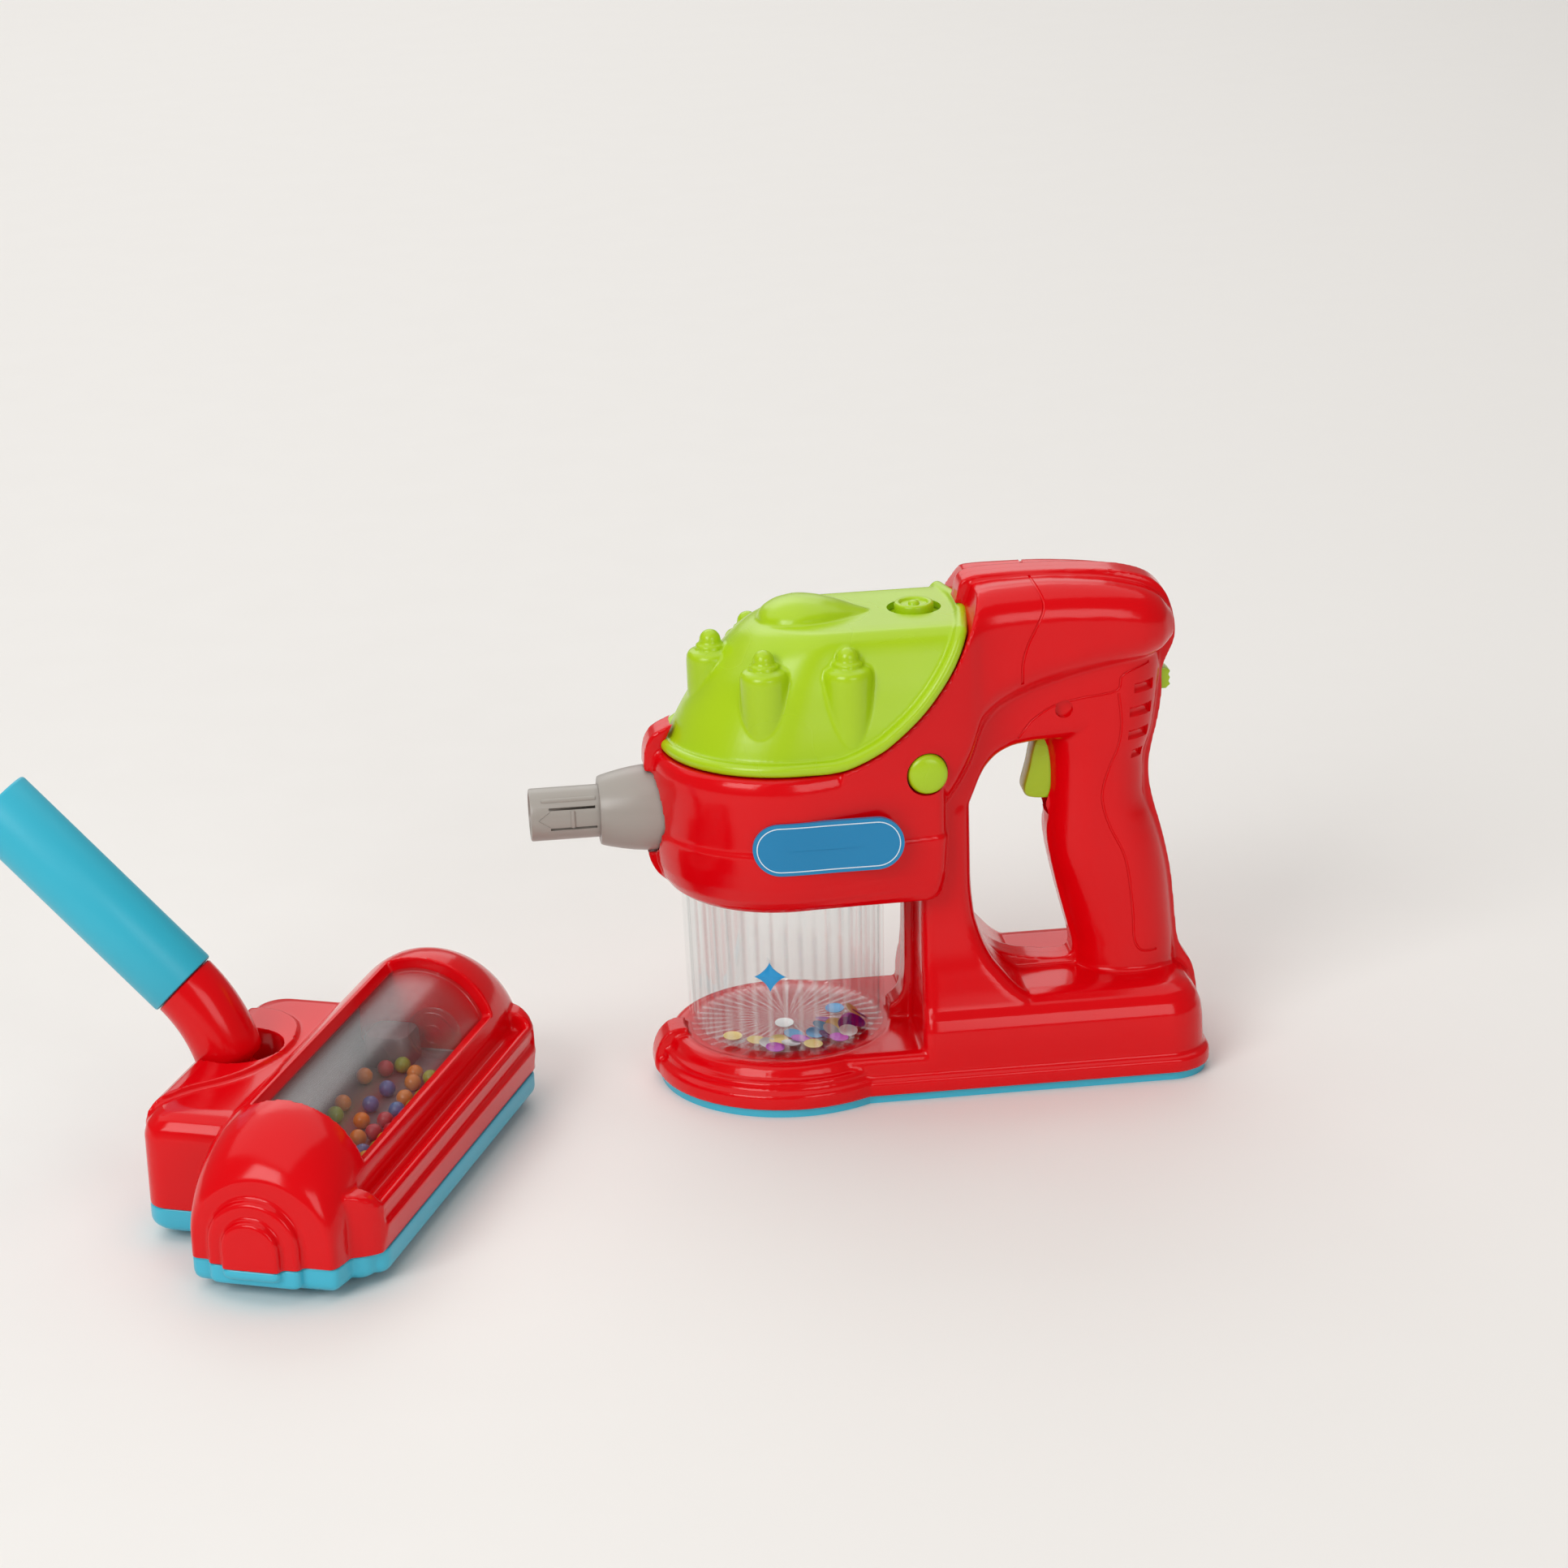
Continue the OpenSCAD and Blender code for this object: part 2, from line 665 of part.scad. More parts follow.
module flask() {
    translate([0, 0, flask_low]) cylinder(r = flask_r, h = flask_high - flask_low, $fn = facets);
    translate([0, 0, flask_high])
        cylinder(r1 = flask_r, r2 = flask_ball_r, h = flask_ball_r, $fn = facets);
    translate([0, 0, flask_high + flask_ball_share * flask_ball_r])
        sphere(r = flask_ball_r, $fn = small_facets);
    translate([0, 0, flask_low]) scale([1, 1, flask_foot_share]) sphere(r = flask_r, $fn = facets);
}

module dome_solid() {
    difference() {
        union() {
            intersection() {
                dome_volume(0);
                rim_region(0);
            }
            intersection() {
                dome_volume(bead);
                difference() {
                    rim_region(0);
                    rim_region(-3 * bead);
                }
            }
            intersection() {
                rim_region(-bead);
                for (place = flask_places) translate(place) flask();
            }
            translate([egg_x, 0, dome_top]) scale([1, egg_w_share, egg_top_share])
                sphere(r = egg_r, $fn = 2 * facets);
        }
        dome_volume(-dome_wall);
        hull() for (i = [0, 1]) translate([egg_x, 0, dome_top - i * dome_wall])
            scale([1, egg_w_share, egg_top_share]) sphere(r = egg_r - dome_wall, $fn = facets);
        translate([dome_button_x, 0, dome_top - dome_button_h])
            cylinder(r = dome_hole_r, h = far, $fn = 2 * facets);
    }
}

// Cradle that hangs from the dome and carries the switch under its button.
module dome_cradle() {
    leg = dome_hole_r + button_flange + gap;
    shelf = dome_switch_z - cradle_t;
    translate([dome_button_x - leg - cradle_t, -switch_w / 2, shelf])
        cube([2 * (leg + cradle_t), switch_w, cradle_t]);
    for (side = [-1, 1]) translate([dome_button_x + side * (leg + cradle_t / 2) - cradle_t / 2,
        -switch_w / 2, shelf]) cube([cradle_t, switch_w, dome_top - dome_wall / 2 - shelf]);
}

module dome_cover() {
    color(LIME) {
        dome_solid();
        dome_cradle();
    }
}

module dome_button() {
    under = dome_top - dome_wall - gap;
    color(LIME) translate([dome_button_x, 0, 0]) {
        translate([0, 0, under - button_flange_t])
            cylinder(r = dome_hole_r + button_flange, h = button_flange_t);
        translate([0, 0, under]) cylinder(r = dome_button_r, h = dome_wall + 2 * gap);
    }
}

module dome_switch() {
    color(DARK) translate([dome_button_x - switch_w / 2, -switch_w / 2, dome_switch_z])
        cube([switch_w, switch_w, switch_h]);
}

module side_button() {
    color(LIME) translate([side_x, side_flange_y, side_z]) rotate([90, 0, 0]) {
        cylinder(r = side_button_r, h = side_flange_y - side_face);
        translate([0, 0, -button_flange_t]) cylinder(r = side_button_r + button_flange, h = button_flange_t);
    }
}

module side_switch() {
    color(DARK) translate([side_x - switch_w / 2, side_switch_y, side_z - switch_w / 2])
        cube([switch_w, switch_h, switch_w]);
}

module slide_switch() {
    color(LIME) {
        translate([knob_x - knob_plate, -knob_w, knob_z + knob_h / 2 - knob_plate_h / 2])
            cube([knob_plate, 2 * knob_w, knob_plate_h]);
        translate([knob_x, -knob_w / 2, knob_z]) cube([knob_out - knob_x, knob_w, knob_h]);
    }
}

module slide_switch_body() {
    color(DARK) translate([knob_x - knob_plate - gap - knob_body, -knob_w, knob_z - knob_h / 2])
        cube([knob_body, 2 * knob_w, 2 * knob_h + switch_travel]);
}

module trigger() {
    color(LIME) difference() {
        rotate([90, 0, 0]) translate([0, 0, -trigger_w / 2]) linear_extrude(trigger_w)
            polygon(scaled(trigger_shares, grid));
        translate([trigger_x, -trigger_w, trigger_z]) rotate([-90, 0, 0])
            cylinder(r = trigger_pin_r + shaft_fit, h = 2 * trigger_w);
    }
}

module trigger_pin() {
    color(STEEL) translate([trigger_x, -pin_half, trigger_z]) rotate([-90, 0, 0])
        cylinder(r = trigger_pin_r, h = 2 * pin_half);
}

module trigger_switch() {
    color(DARK) translate([trigger_switch_x, -trigger_switch_size[1] / 2, trigger_switch_z])
        cube(trigger_switch_size);
}

// Nozzle pieces are turned about the nozzle's axis, which points along -X.
module on_nozzle() {
    translate([sleeve_x, 0, nozzle_z]) rotate([0, -90, 0]) children();
}

module nozzle_sleeve() {
    inner = sleeve_flange_x - sleeve_x;
    color(GREY) on_nozzle() difference() {
        rotate_extrude() polygon([[0, -inner - sleeve_flange_t], [sleeve_flange_r, -inner - sleeve_flange_t],
            [sleeve_flange_r, -inner], [sleeve_r, -inner],
            for (p = sleeve_shares) [p[0] * sleeve_r, p[1] * sleeve_l], [0, sleeve_l]]);
        translate([0, 0, -grid]) cylinder(r = sleeve_bore_r, h = far);
    }
}

module nozzle_plug() {
    flange_at = sleeve_x - sleeve_flange_x - sleeve_flange_t - plug_flange_t;
    color(GREY) on_nozzle() difference() {
        union() {
            translate([0, 0, flange_at]) cylinder(r = plug_r - gap, h = sleeve_l - flange_at + gap);
            translate([0, 0, sleeve_l]) cylinder(r = plug_r, h = plug_l);
            translate([0, 0, flange_at]) cylinder(r = sleeve_bore_r + plug_flange_t, h = plug_flange_t);
        }
        translate([0, 0, -grid]) cylinder(r = plug_r - plug_wall, h = far);
    }
}

// Bin pieces are turned about the bin's axis.
module on_bin() {
    translate([bin_x, 0, 0]) children();
}

module dust_bin() {
    color(CLEAR) on_bin() rotate_extrude() polygon([[0, bin_z], [bin_r, bin_z], [bin_mouth_r, bin_top],
        [bin_mouth_r - bin_wall, bin_top], [bin_r - bin_wall, bin_z + bin_floor], [0, bin_z + bin_floor]]);
}

module bin_cap() {
    lip_r = bin_mouth_r - bin_wall - gap;
    color(GREY) on_bin() {
        difference() {
            translate([0, 0, bin_top]) cylinder(r = bin_mouth_r, h = cap_t);
            for (a = [0:45:315]) rotate(a) translate([fan_hub_r, -cap_slot_w / 2, 0])
                cube([fan_r - fan_hub_r, cap_slot_w, far]);
        }
        translate([0, 0, bin_top - cap_lip]) difference() {
            cylinder(r = lip_r, h = cap_lip + cap_t / 2);
            translate([0, 0, -skin]) cylinder(r = lip_r - bin_wall, h = cap_lip + cap_t);
        }
        for (a = [22.5:90:292.5]) rotate(a) translate([cap_post_at, 0, bin_top + cap_t / 2])
            cylinder(r = cap_post_r, h = motor_z - bin_top - cap_t / 2);
    }
}

sequin_count = 30;
sequin_turn = 137.5;

module sequins(colour) {
    reach = bin_r - bin_wall - sequin_r - gap;
    color(SEQUIN_COLOURS[colour]) on_bin() for (i = [colour:len(SEQUIN_COLOURS):sequin_count - 1])
        rotate(i * sequin_turn)
            translate([reach * sqrt((i + 0.5) / sequin_count), 0, bin_z + bin_floor + skin])
                cylinder(r = sequin_r, h = sticker_t);
}

module sequins_gold() { sequins(0); }
module sequins_magenta() { sequins(1); }
module sequins_blue() { sequins(2); }
module sequins_silver() { sequins(3); }
module sequins_purple() { sequins(4); }

module star_sticker() {
    slope = (bin_mouth_r - bin_r) / bin_h;
    low = bin_r + (star_z - star_r - bin_z) * slope + sticker_off;
    high = bin_r + (star_z + star_r - bin_z) * slope + sticker_off;
    color(BLUE) on_bin() intersection() {
        translate([0, 0, star_z]) rotate_extrude() polygon([[low, -star_r], [low + sticker_t, -star_r],
            [high + sticker_t, star_r], [high, star_r]]);
        rotate(-star_turn) translate([0, -bin_r / 2, star_z]) rotate([90, 0, 0]) linear_extrude(bin_r)
            polygon([for (i = [0:7]) star_r * (i % 2 == 0 ? 1 : star_waist_share)
                * [cos(45 * i), sin(45 * i)]]);
    }
}

module label_sticker() {
    end_r = label_h / 2;
    color(BLUE) intersection() {
        translate([0, 0, label_z - label_h]) linear_extrude(2 * label_h) difference() {
            collar_plan(-sticker_off - sticker_t, -sticker_off - sticker_t);
            collar_plan(-sticker_off, -sticker_off);
        }
        translate([label_x, 0, label_z]) rotate([90, 0, 0]) linear_extrude(grid) {
            square([label_l - label_h, label_h], center = true);
            for (x = [-1, 1]) translate([x * (label_l / 2 - end_r), 0]) circle(r = end_r);
        }
    }
}

module motor_plate() {
    color(DARK) on_bin() difference() {
        translate([0, 0, motor_z]) cylinder(r = motor_plate_r, h = motor_plate_t);
        cylinder(r = 2 * shaft_r, h = far);
    }
}

module motor() {
    color(STEEL) on_bin() translate([0, 0, motor_z + motor_plate_t]) difference() {
        cylinder(r = motor_r, h = motor_h);
        translate([0, 0, -skin]) cylinder(r = shaft_r + shaft_fit, h = motor_h / 2);
    }
}

module fan_shaft() {
    color(STEEL) on_bin() translate([0, 0, fan_z])
        cylinder(r = shaft_r, h = motor_z + motor_plate_t + motor_h / 3 - fan_z);
}

module fan() {
    color(LIME) on_bin() translate([0, 0, fan_z]) linear_extrude(fan_h) difference() {
        union() {
            circle(r = fan_hub_r);
            for (i = [0:fan_blades - 1]) rotate(i * 360 / fan_blades)
                translate([fan_hub_r - blade_t, -blade_t / 2]) square([fan_r - fan_hub_r, blade_t]);
        }
        circle(r = shaft_r + shaft_fit / 2);
    }
}

module sound_board() {
    color(GREEN_BOARD) translate(board_at) cube(board_size);
}

module speaker() {
    color(DARK) on_bin() translate([0, 0, plate_top]) {
        cylinder(r = speaker_r, h = speaker_h / 3);
        cylinder(r = speaker_r / 2, h = speaker_h);
    }
}

// Pieces of the floor head are drawn with forward along +X and the barrel along Y.
module in_head() {
    translate([head_x, head_y, 0]) rotate(head_yaw) children();
}

module arch_slab(v, half, top, shift, low) {
    translate([shift, v, 0]) rotate([90, 0, 0]) {
        translate([0, top - half, 0]) cylinder(r = half, h = skin, $fn = facets);
        translate([-half, low, 0]) cube([2 * half, top - half - low, skin]);
    }
}

module barrel_form(d, low) {
    for (side = [-1, 1]) for (i = [0:len(barrel_shares) - 2]) hull() for (k = [i, i + 1]) {
        s = barrel_shares[k] * barrel_r;
        inset = k == len(barrel_shares) - 1 ? d : 0;
        arch_slab(side * (s[0] - inset), s[1] - d, s[2] - d, 0, low);
    }
}

module step_forms(low) {
    for (side = [-1, 1], i = [0, 1]) hull() {
        arch_slab(side * barrel_half / 2, step_half[i], step_top[i], step_shift, low);
        arch_slab(side * (barrel_half + step_out[i]), step_half[i], step_top[i], step_shift, low);
    }
}

module rear_form(d, low) {
    hull() {
        slab(low, rear_back + d, rear_front, rear_half - d, rear_round - d);
        for (step = round_shares) slab(rear_top - d - step[1] * rear_round,
            rear_back + d + step[0] * rear_round, rear_front,
            rear_half - d - step[0] * rear_round, rear_round - d);
    }
}

module skirt_form(d, low) {
    hull() {
        translate([0, -skirt_half + d, low]) cube([skirt_out - d, 2 * (skirt_half - d), skirt_low - d - low]);
        translate([0, -skirt_half + d, low]) cube([barrel_r, 2 * (skirt_half - d), skirt_top - d - low]);
    }
}

module ear_forms(d, low) {
    for (side = [-1, 1]) hull() for (v = [skirt_half - rear_round, ear_half - rear_round + d])
        translate([ear_u, side * v, low])
            cylinder(r = ear_r - d, h = skirt_top - low - d, $fn = facets);
}

module head_forms(d, low) {
    barrel_form(d, low);
    rear_form(d, low);
    skirt_form(d, low);
    ear_forms(d, low);
}

module head_hole() {
    translate([hole_u, 0, rear_top - hole_depth]) cylinder(r = hole_r, h = far, $fn = 2 * facets);
}

module head_cover() {
    color(RED) in_head() difference() {
        union() {
            difference() {
                union() {
                    head_forms(0, split_z);
                    step_forms(split_z);
                    hull() for (v = [-1, 1], u = [rear_back + rear_round, rear_front - hole_r])
                        translate([u + rear_round / 2, v * (saddle_half - rear_round), rear_top - saddle_t])
                            cylinder(r = rear_round, h = 2 * saddle_t, $fn = facets);
                }
                head_forms(head_wall, split_z - skin);
            }
            intersection() {
                for (p = head_screw_places) translate([p[0], p[1], split_z])
                    cylinder(r = boss_r, h = far, $fn = facets);
                head_forms(skin, split_z);
            }
        }
        head_hole();
        translate([0, 0, split_z - grid]) cube([far * 2, far * 2, 2 * grid], center = true);
        for (p = head_screw_places) translate([p[0], p[1], split_z - skin])
            cylinder(r = screw_r + pilot, h = head_screw_l - head_wall, $fn = small_facets);
        translate([0, 0, barrel_z]) rotate([90, 0, 0]) translate([0, 0, -window_half + window_land])
            rotate([0, 0, window_from + window_land]) linear_extrude(2 * (window_half - window_land))
                polygon([[0, 0], for (i = [0:window_steps]) 2 * barrel_r
                    * [cos(i * (window_to - window_from - 2 * window_land) / window_steps),
                        sin(i * (window_to - window_from - 2 * window_land) / window_steps)]]);
    }
}

// Plan of the tray, drawn inset by d, in the same plan as the cover.
module tray_plan(d) {
    end = barrel_shares[5][1] * barrel_r;
    difference() {
        union() {
            translate([-barrel_r + d, -ear_half + d]) square([2 * (barrel_r - d), 2 * (ear_half - d)]);
            translate([-end + d, -barrel_half + d]) square([2 * (end - d), 2 * (barrel_half - d)]);
            translate([rear_back + d, -rear_half + d]) square([-rear_back - d, 2 * (rear_half - d)]);
            translate([0, -skirt_half + d]) square([skirt_out - d, 2 * (skirt_half - d)]);
        }
        for (v = [-1, 1]) translate([skirt_out, v * skirt_half]) rotate(45)
            square([rear_round - d / 2, rear_round + d], center = true);
    }
}

module axle_bearing(u, v, z) {
    translate([u - bearing_r, v - bearing_t / 2, tray_z]) cube([2 * bearing_r, bearing_t, z - tray_z]);
    translate([u, v - bearing_t / 2, z]) rotate([-90, 0, 0]) cylinder(r = bearing_r, h = bearing_t);
}

module axle_line(u, z, r) {
    translate([u, -grid, z]) rotate([-90, 0, 0]) cylinder(r = r, h = far);
}

module wheel_slots() {
    for (v = [-1, 1]) {
        translate([0, v * front_wheel_at, 0])
            cube([2 * front_wheel_r + 2 * wheel_slot, wheel_t + 2 * wheel_slot, far], center = true);
        translate([rear_u, v * rear_wheel_at, 0])
            cube([2 * rear_wheel_r + 2 * wheel_slot, wheel_t + 2 * wheel_slot, far], center = true);
    }
}

module head_tray() {
    front_bearing = front_wheel_at - wheel_t / 2 - wheel_slot - bearing_t;
    rear_bearing = rear_wheel_at - wheel_t / 2 - wheel_slot - bearing_t;
    cheek_at = neck_hub_half + gap + pin_cheek / 2;
    color(BLUE) in_head() difference() {
        union() {
            difference() {
                translate([0, 0, tray_z]) linear_extrude(split_z - tray_z) tray_plan(0);
                translate([0, 0, tray_z + tray_t]) linear_extrude(split_z) tray_plan(tray_wall);
            }
            for (i = [0, 1], v = [-1, 1]) translate([step_shift - step_half[i],
                v * (barrel_half + step_out[i] / 2) - step_out[i] / 2, tray_z])
                cube([2 * step_half[i], step_out[i], split_z - tray_z]);
            for (v = [-1, 1]) {
                axle_bearing(0, v * front_bearing, front_wheel_r);
                axle_bearing(rear_u, v * rear_bearing, rear_wheel_r);
                translate([neck_pin_u - bearing_r, v * cheek_at - pin_cheek / 2, tray_z])
                    cube([2 * bearing_r, pin_cheek, neck_pin_z - tray_z]);
                translate([neck_pin_u, v * cheek_at - pin_cheek / 2, neck_pin_z])
                    rotate([-90, 0, 0]) cylinder(r = bearing_r + gap, h = pin_cheek);
            }
            for (p = head_screw_places) translate([p[0], p[1], tray_z])
                cylinder(r = boss_r, h = split_z - tray_z);
        }
        wheel_slots();
        axle_line(0, front_wheel_r, axle_r + shaft_fit);
        axle_line(rear_u, rear_wheel_r, axle_r + shaft_fit);
        translate([neck_pin_u, 0, neck_pin_z]) rotate([90, 0, 0])
            cylinder(r = neck_pin_r + shaft_fit, h = grid, center = true);
        for (p = head_screw_places) translate([p[0], p[1], 0]) {
            cylinder(r = screw_r + gap, h = grid);
            cylinder(r = screw_head_r + gap, h = tray_z + screw_head_t + gap);
        }
    }
}

// A shell around the barrel's axis between two angles from straight ahead.
module barrel_shell(z, outer, t, from, to, half) {
    translate([0, half, z]) rotate([90, 0, 0]) rotate_extrude(start = from, angle = to - from)
        translate([outer - t, 0]) square([t, 2 * half]);
}

module window() {
    outer = barrel_shares[0][1] * barrel_r - head_wall - gap;
    color(CLEAR) in_head() barrel_shell(barrel_z, outer, window_t, window_from, window_to, window_half);
}

module ball_trough() {
    color(DARK) in_head() {
        barrel_shell(trough_z, trough_r + trough_t, trough_t, trough_from, trough_to, trough_half);
        for (v = [-1, 1]) translate([0, v * (trough_half - trough_t / 2), trough_z]) rotate([90, 0, 0])
            rotate_extrude(start = trough_from, angle = trough_to - trough_from)
                translate([0, -trough_t / 2]) square([trough_r, trough_t]);
    }
}

module balls(colour) {
    at = trough_r - ball_r - gap / 2;
    color(BALL_COLOURS[colour]) in_head() for (row = [0:len(ball_rows) - 1], i = [0:ball_count - 1])
        if ((i + 2 * row) % len(BALL_COLOURS) == colour)
            translate([at * cos(ball_rows[row]), ball_first + i * ball_step + row * ball_step / 3,
                trough_z + at * sin(ball_rows[row])]) sphere(r = ball_r);
}

module balls_orange() { balls(0); }
module balls_blue() { balls(1); }
module balls_red() { balls(2); }
module balls_yellow() { balls(3); }
module balls_green() { balls(4); }

module axle(u, z, half) {
    color(STEEL) in_head() translate([u, -half, z]) rotate([-90, 0, 0]) cylinder(r = axle_r, h = 2 * half);
}

module wheel_pair(u, r, at) {
    color(BLUE) in_head() for (v = [-1, 1]) translate([u, v * at - wheel_t / 2, r]) rotate([-90, 0, 0])
        difference() {
            cylinder(r = r, h = wheel_t);
            translate([0, 0, -skin]) cylinder(r = axle_r + shaft_fit / 2, h = 2 * wheel_t);
        }
}

module front_axle() { axle(0, front_wheel_r, front_wheel_at + wheel_t / 2); }
module rear_axle() { axle(rear_u, rear_wheel_r, rear_wheel_at + wheel_t / 2); }
module front_wheels() { wheel_pair(0, front_wheel_r, front_wheel_at); }
module rear_wheels() { wheel_pair(rear_u, rear_wheel_r, rear_wheel_at); }

module popper_cam() {
    color(LIME) in_head() translate([0, -wheel_t / 2, front_wheel_r]) rotate([-90, 0, 0]) difference() {
        translate([cam_lobe, 0, 0]) cylinder(r = cam_r, h = wheel_t);
        translate([0, 0, -skin]) cylinder(r = axle_r + shaft_fit / 2, h = 2 * wheel_t);
    }
}

module neck_pin() {
    half = neck_hub_half + gap + pin_cheek;
    color(STEEL) in_head() translate([neck_pin_u, 0, neck_pin_z]) rotate([90, 0, 0])
        cylinder(r = neck_pin_r, h = 2 * half, center = true);
}

module head_screws() {
    color(STEEL) in_head() for (p = head_screw_places) translate([p[0], p[1], tray_z + gap]) {
        cylinder(r = screw_head_r, h = screw_head_t);
        cylinder(r = screw_r, h = head_screw_l);
    }
}

// The neck's foot, bend and spigot follow one line in the head's mid plane.
neck_turn = neck_foot_slope - tube_slope;
neck_foot = [neck_pin_u - neck_rise * cos(neck_foot_slope), neck_pin_z + neck_rise * sin(neck_foot_slope)];
neck_centre = neck_foot - neck_bend_r * [sin(neck_foot_slope), cos(neck_foot_slope)];
neck_end = neck_centre + neck_bend_r * [sin(tube_slope), cos(tube_slope)];

module along_slope(p, slope) {
    translate([p[0], 0, p[1]]) rotate([0, slope - 90, 0]) children();
}

module neck() {
    color(RED) in_head() difference() {
        union() {
            translate([neck_pin_u, 0, neck_pin_z]) rotate([90, 0, 0])
                cylinder(r = neck_hub_r, h = 2 * neck_hub_half, center = true);
            along_slope([neck_pin_u, neck_pin_z], neck_foot_slope)
                cylinder(r = neck_hub_r, h = neck_rise + gap);
            translate([neck_centre[0], 0, neck_centre[1]]) rotate([90, 0, 0])
                rotate_extrude(start = 90 - neck_foot_slope, angle = neck_turn)
                    translate([neck_bend_r, 0]) circle(r = neck_r);
            along_slope(neck_end, tube_slope) translate([0, 0, -gap])
                cylinder(r = neck_spigot_r, h = neck_spigot_l + gap);
        }
        translate([neck_pin_u, 0, neck_pin_z]) rotate([90, 0, 0])
            cylinder(r = neck_pin_r + shaft_fit, h = grid, center = true);
    }
}

module tube() {
    color(BLUE) in_head() along_slope(neck_end, tube_slope) translate([0, 0, gap]) difference() {
        cylinder(r = tube_r, h = tube_l);
        translate([0, 0, -skin]) cylinder(r = tube_bore_r, h = neck_spigot_l + gap);
        cylinder(r = tube_stop_r, h = far);
        translate([0, 0, tube_l - tube_socket_l]) cylinder(r = tube_socket_r, h = far);
    }
}

housing_near();
housing_far();
base_plate();
battery_cover();
battery_cover_screw();
battery_box();
batteries();
housing_screws();
dome_cover();
dome_button();
dome_switch();
side_button();
side_switch();
slide_switch();
slide_switch_body();
trigger();
trigger_pin();
trigger_switch();
nozzle_sleeve();
nozzle_plug();
dust_bin();
bin_cap();
sequins_gold();
sequins_magenta();
sequins_blue();
sequins_silver();
sequins_purple();
star_sticker();
label_sticker();
motor();
motor_plate();
fan_shaft();
fan();
sound_board();
speaker();
head_cover();
head_tray();
window();
ball_trough();
balls_orange();
balls_blue();
balls_red();
balls_yellow();
balls_green();
front_axle();
front_wheels();
popper_cam();
rear_axle();
rear_wheels();
neck_pin();
head_screws();
neck();
tube();
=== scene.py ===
import math

import bmesh
import bpy
from bpy.props import FloatProperty, FloatVectorProperty, IntProperty, PointerProperty
from mathutils import Matrix, Vector


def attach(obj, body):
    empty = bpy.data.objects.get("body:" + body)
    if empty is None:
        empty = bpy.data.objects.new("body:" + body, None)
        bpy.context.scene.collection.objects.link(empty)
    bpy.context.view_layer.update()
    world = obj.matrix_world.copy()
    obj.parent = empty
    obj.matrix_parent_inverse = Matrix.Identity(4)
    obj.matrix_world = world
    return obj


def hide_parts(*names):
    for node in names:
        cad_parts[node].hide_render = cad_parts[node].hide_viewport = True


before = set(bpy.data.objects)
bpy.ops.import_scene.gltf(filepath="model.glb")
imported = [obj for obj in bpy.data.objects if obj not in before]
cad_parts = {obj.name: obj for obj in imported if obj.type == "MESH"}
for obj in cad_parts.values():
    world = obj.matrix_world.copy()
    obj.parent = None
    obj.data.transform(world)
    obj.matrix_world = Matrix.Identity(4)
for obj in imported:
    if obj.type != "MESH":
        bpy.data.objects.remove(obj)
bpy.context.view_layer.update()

bl_info = {
    "name": "Toy Vacuum Cleaner",
    "version": (1, 0, 0),
    "blender": (4, 5, 0),
    "location": "View3D > Sidebar > Toy Vacuum",
    "description": "Dresses the packed solids of a toy vacuum cleaner and its floor head",
    "category": "Object",
}

MM = 0.001
# Where the floor head stands, in millimetres and degrees.
HEAD_X, HEAD_Y, HEAD_YAW = -211.3, -73.8, -22.5
# Places that several pieces share, in millimetres: the bin's axis, the nozzle's axis, the two round buttons,
# the level edge of the dome, the axis of the head's barrel and the ends of its window.
BIN_X = -52
NOZZLE_Z = 106
DOME_BUTTON_X = -1
SIDE_BUTTON_X, SIDE_BUTTON_Z = -2.9, 124.4
RIM_Z = 128.6
BARREL_Z = 31
WINDOW_LOW, WINDOW_HIGH = -65, 64
# Wheels of the head: place across it, place along it, radius.
WHEELS = {"front": (0, 80, 10), "rear": (-45, 44, 8)}
# Softboxes: name, place, aim, size in metres, power in watts.
SOFTBOXES = (
    ("top_softbox", (-0.5, 1.0, 2.6), (-0.3, 0.8, 0), 4.6, 64),
    ("left_softbox", (-1.9, -2.0, 1.9), (-0.1, 0, 0.05), 1.6, 46),
    ("front_softbox", (0.9, -2.6, 1.2), (-0.05, 0, 0.08), 1.2, 14),
    ("back_softbox", (-0.2, 3.6, 2.0), (-0.2, 2.0, 0), 3.0, 30),
)
SKY_STRENGTH = 0.22
# Camera: place in millimetres, then azimuth, pitch and roll in degrees, lens and sensor in millimetres.
CAMERA_PLACE = (-210.59, -1481.93, 641.73)
CAMERA_TURN = (-6.18, 19.6, 2.02)
LENS, SENSOR = 100, 36

# Outline tables of the red housing, in millimetres.
# Grip: height, front, back, half width.
GRIP_ROWS = [
    (28, 55, 94, 19), (33, 55, 93.5, 18.6), (42, 55, 93, 17.6), (53, 52.5, 92.2, 17.2), (67, 49, 91, 17.4),
    (79, 46, 89, 17), (90, 45.2, 86, 16.2), (102, 46, 82.5, 15.8), (114, 46.2, 82.5, 16.6), (126, 44.4, 85.5, 18),
    (140, 42, 87.5, 18.5), (150, 42, 88.5, 18.5), (158, 43, 88, 18), (166, 46, 86, 15),
]
# Column behind the bin: height, front, back, half width.
COLUMN_ROWS = [
    (26, -5.8, 46, 37), (32, -5.6, 37, 35.5), (37, -5.4, 30, 34), (42, -5.2, 25.5, 32.6), (48, -5.2, 21, 31),
    (56, -5, 17.5, 29.6), (66, -4.8, 15, 28.6), (80, -4.4, 14, 29), (104, -4.4, 14, 29.6), (114, -4.4, 14.6, 26),
]
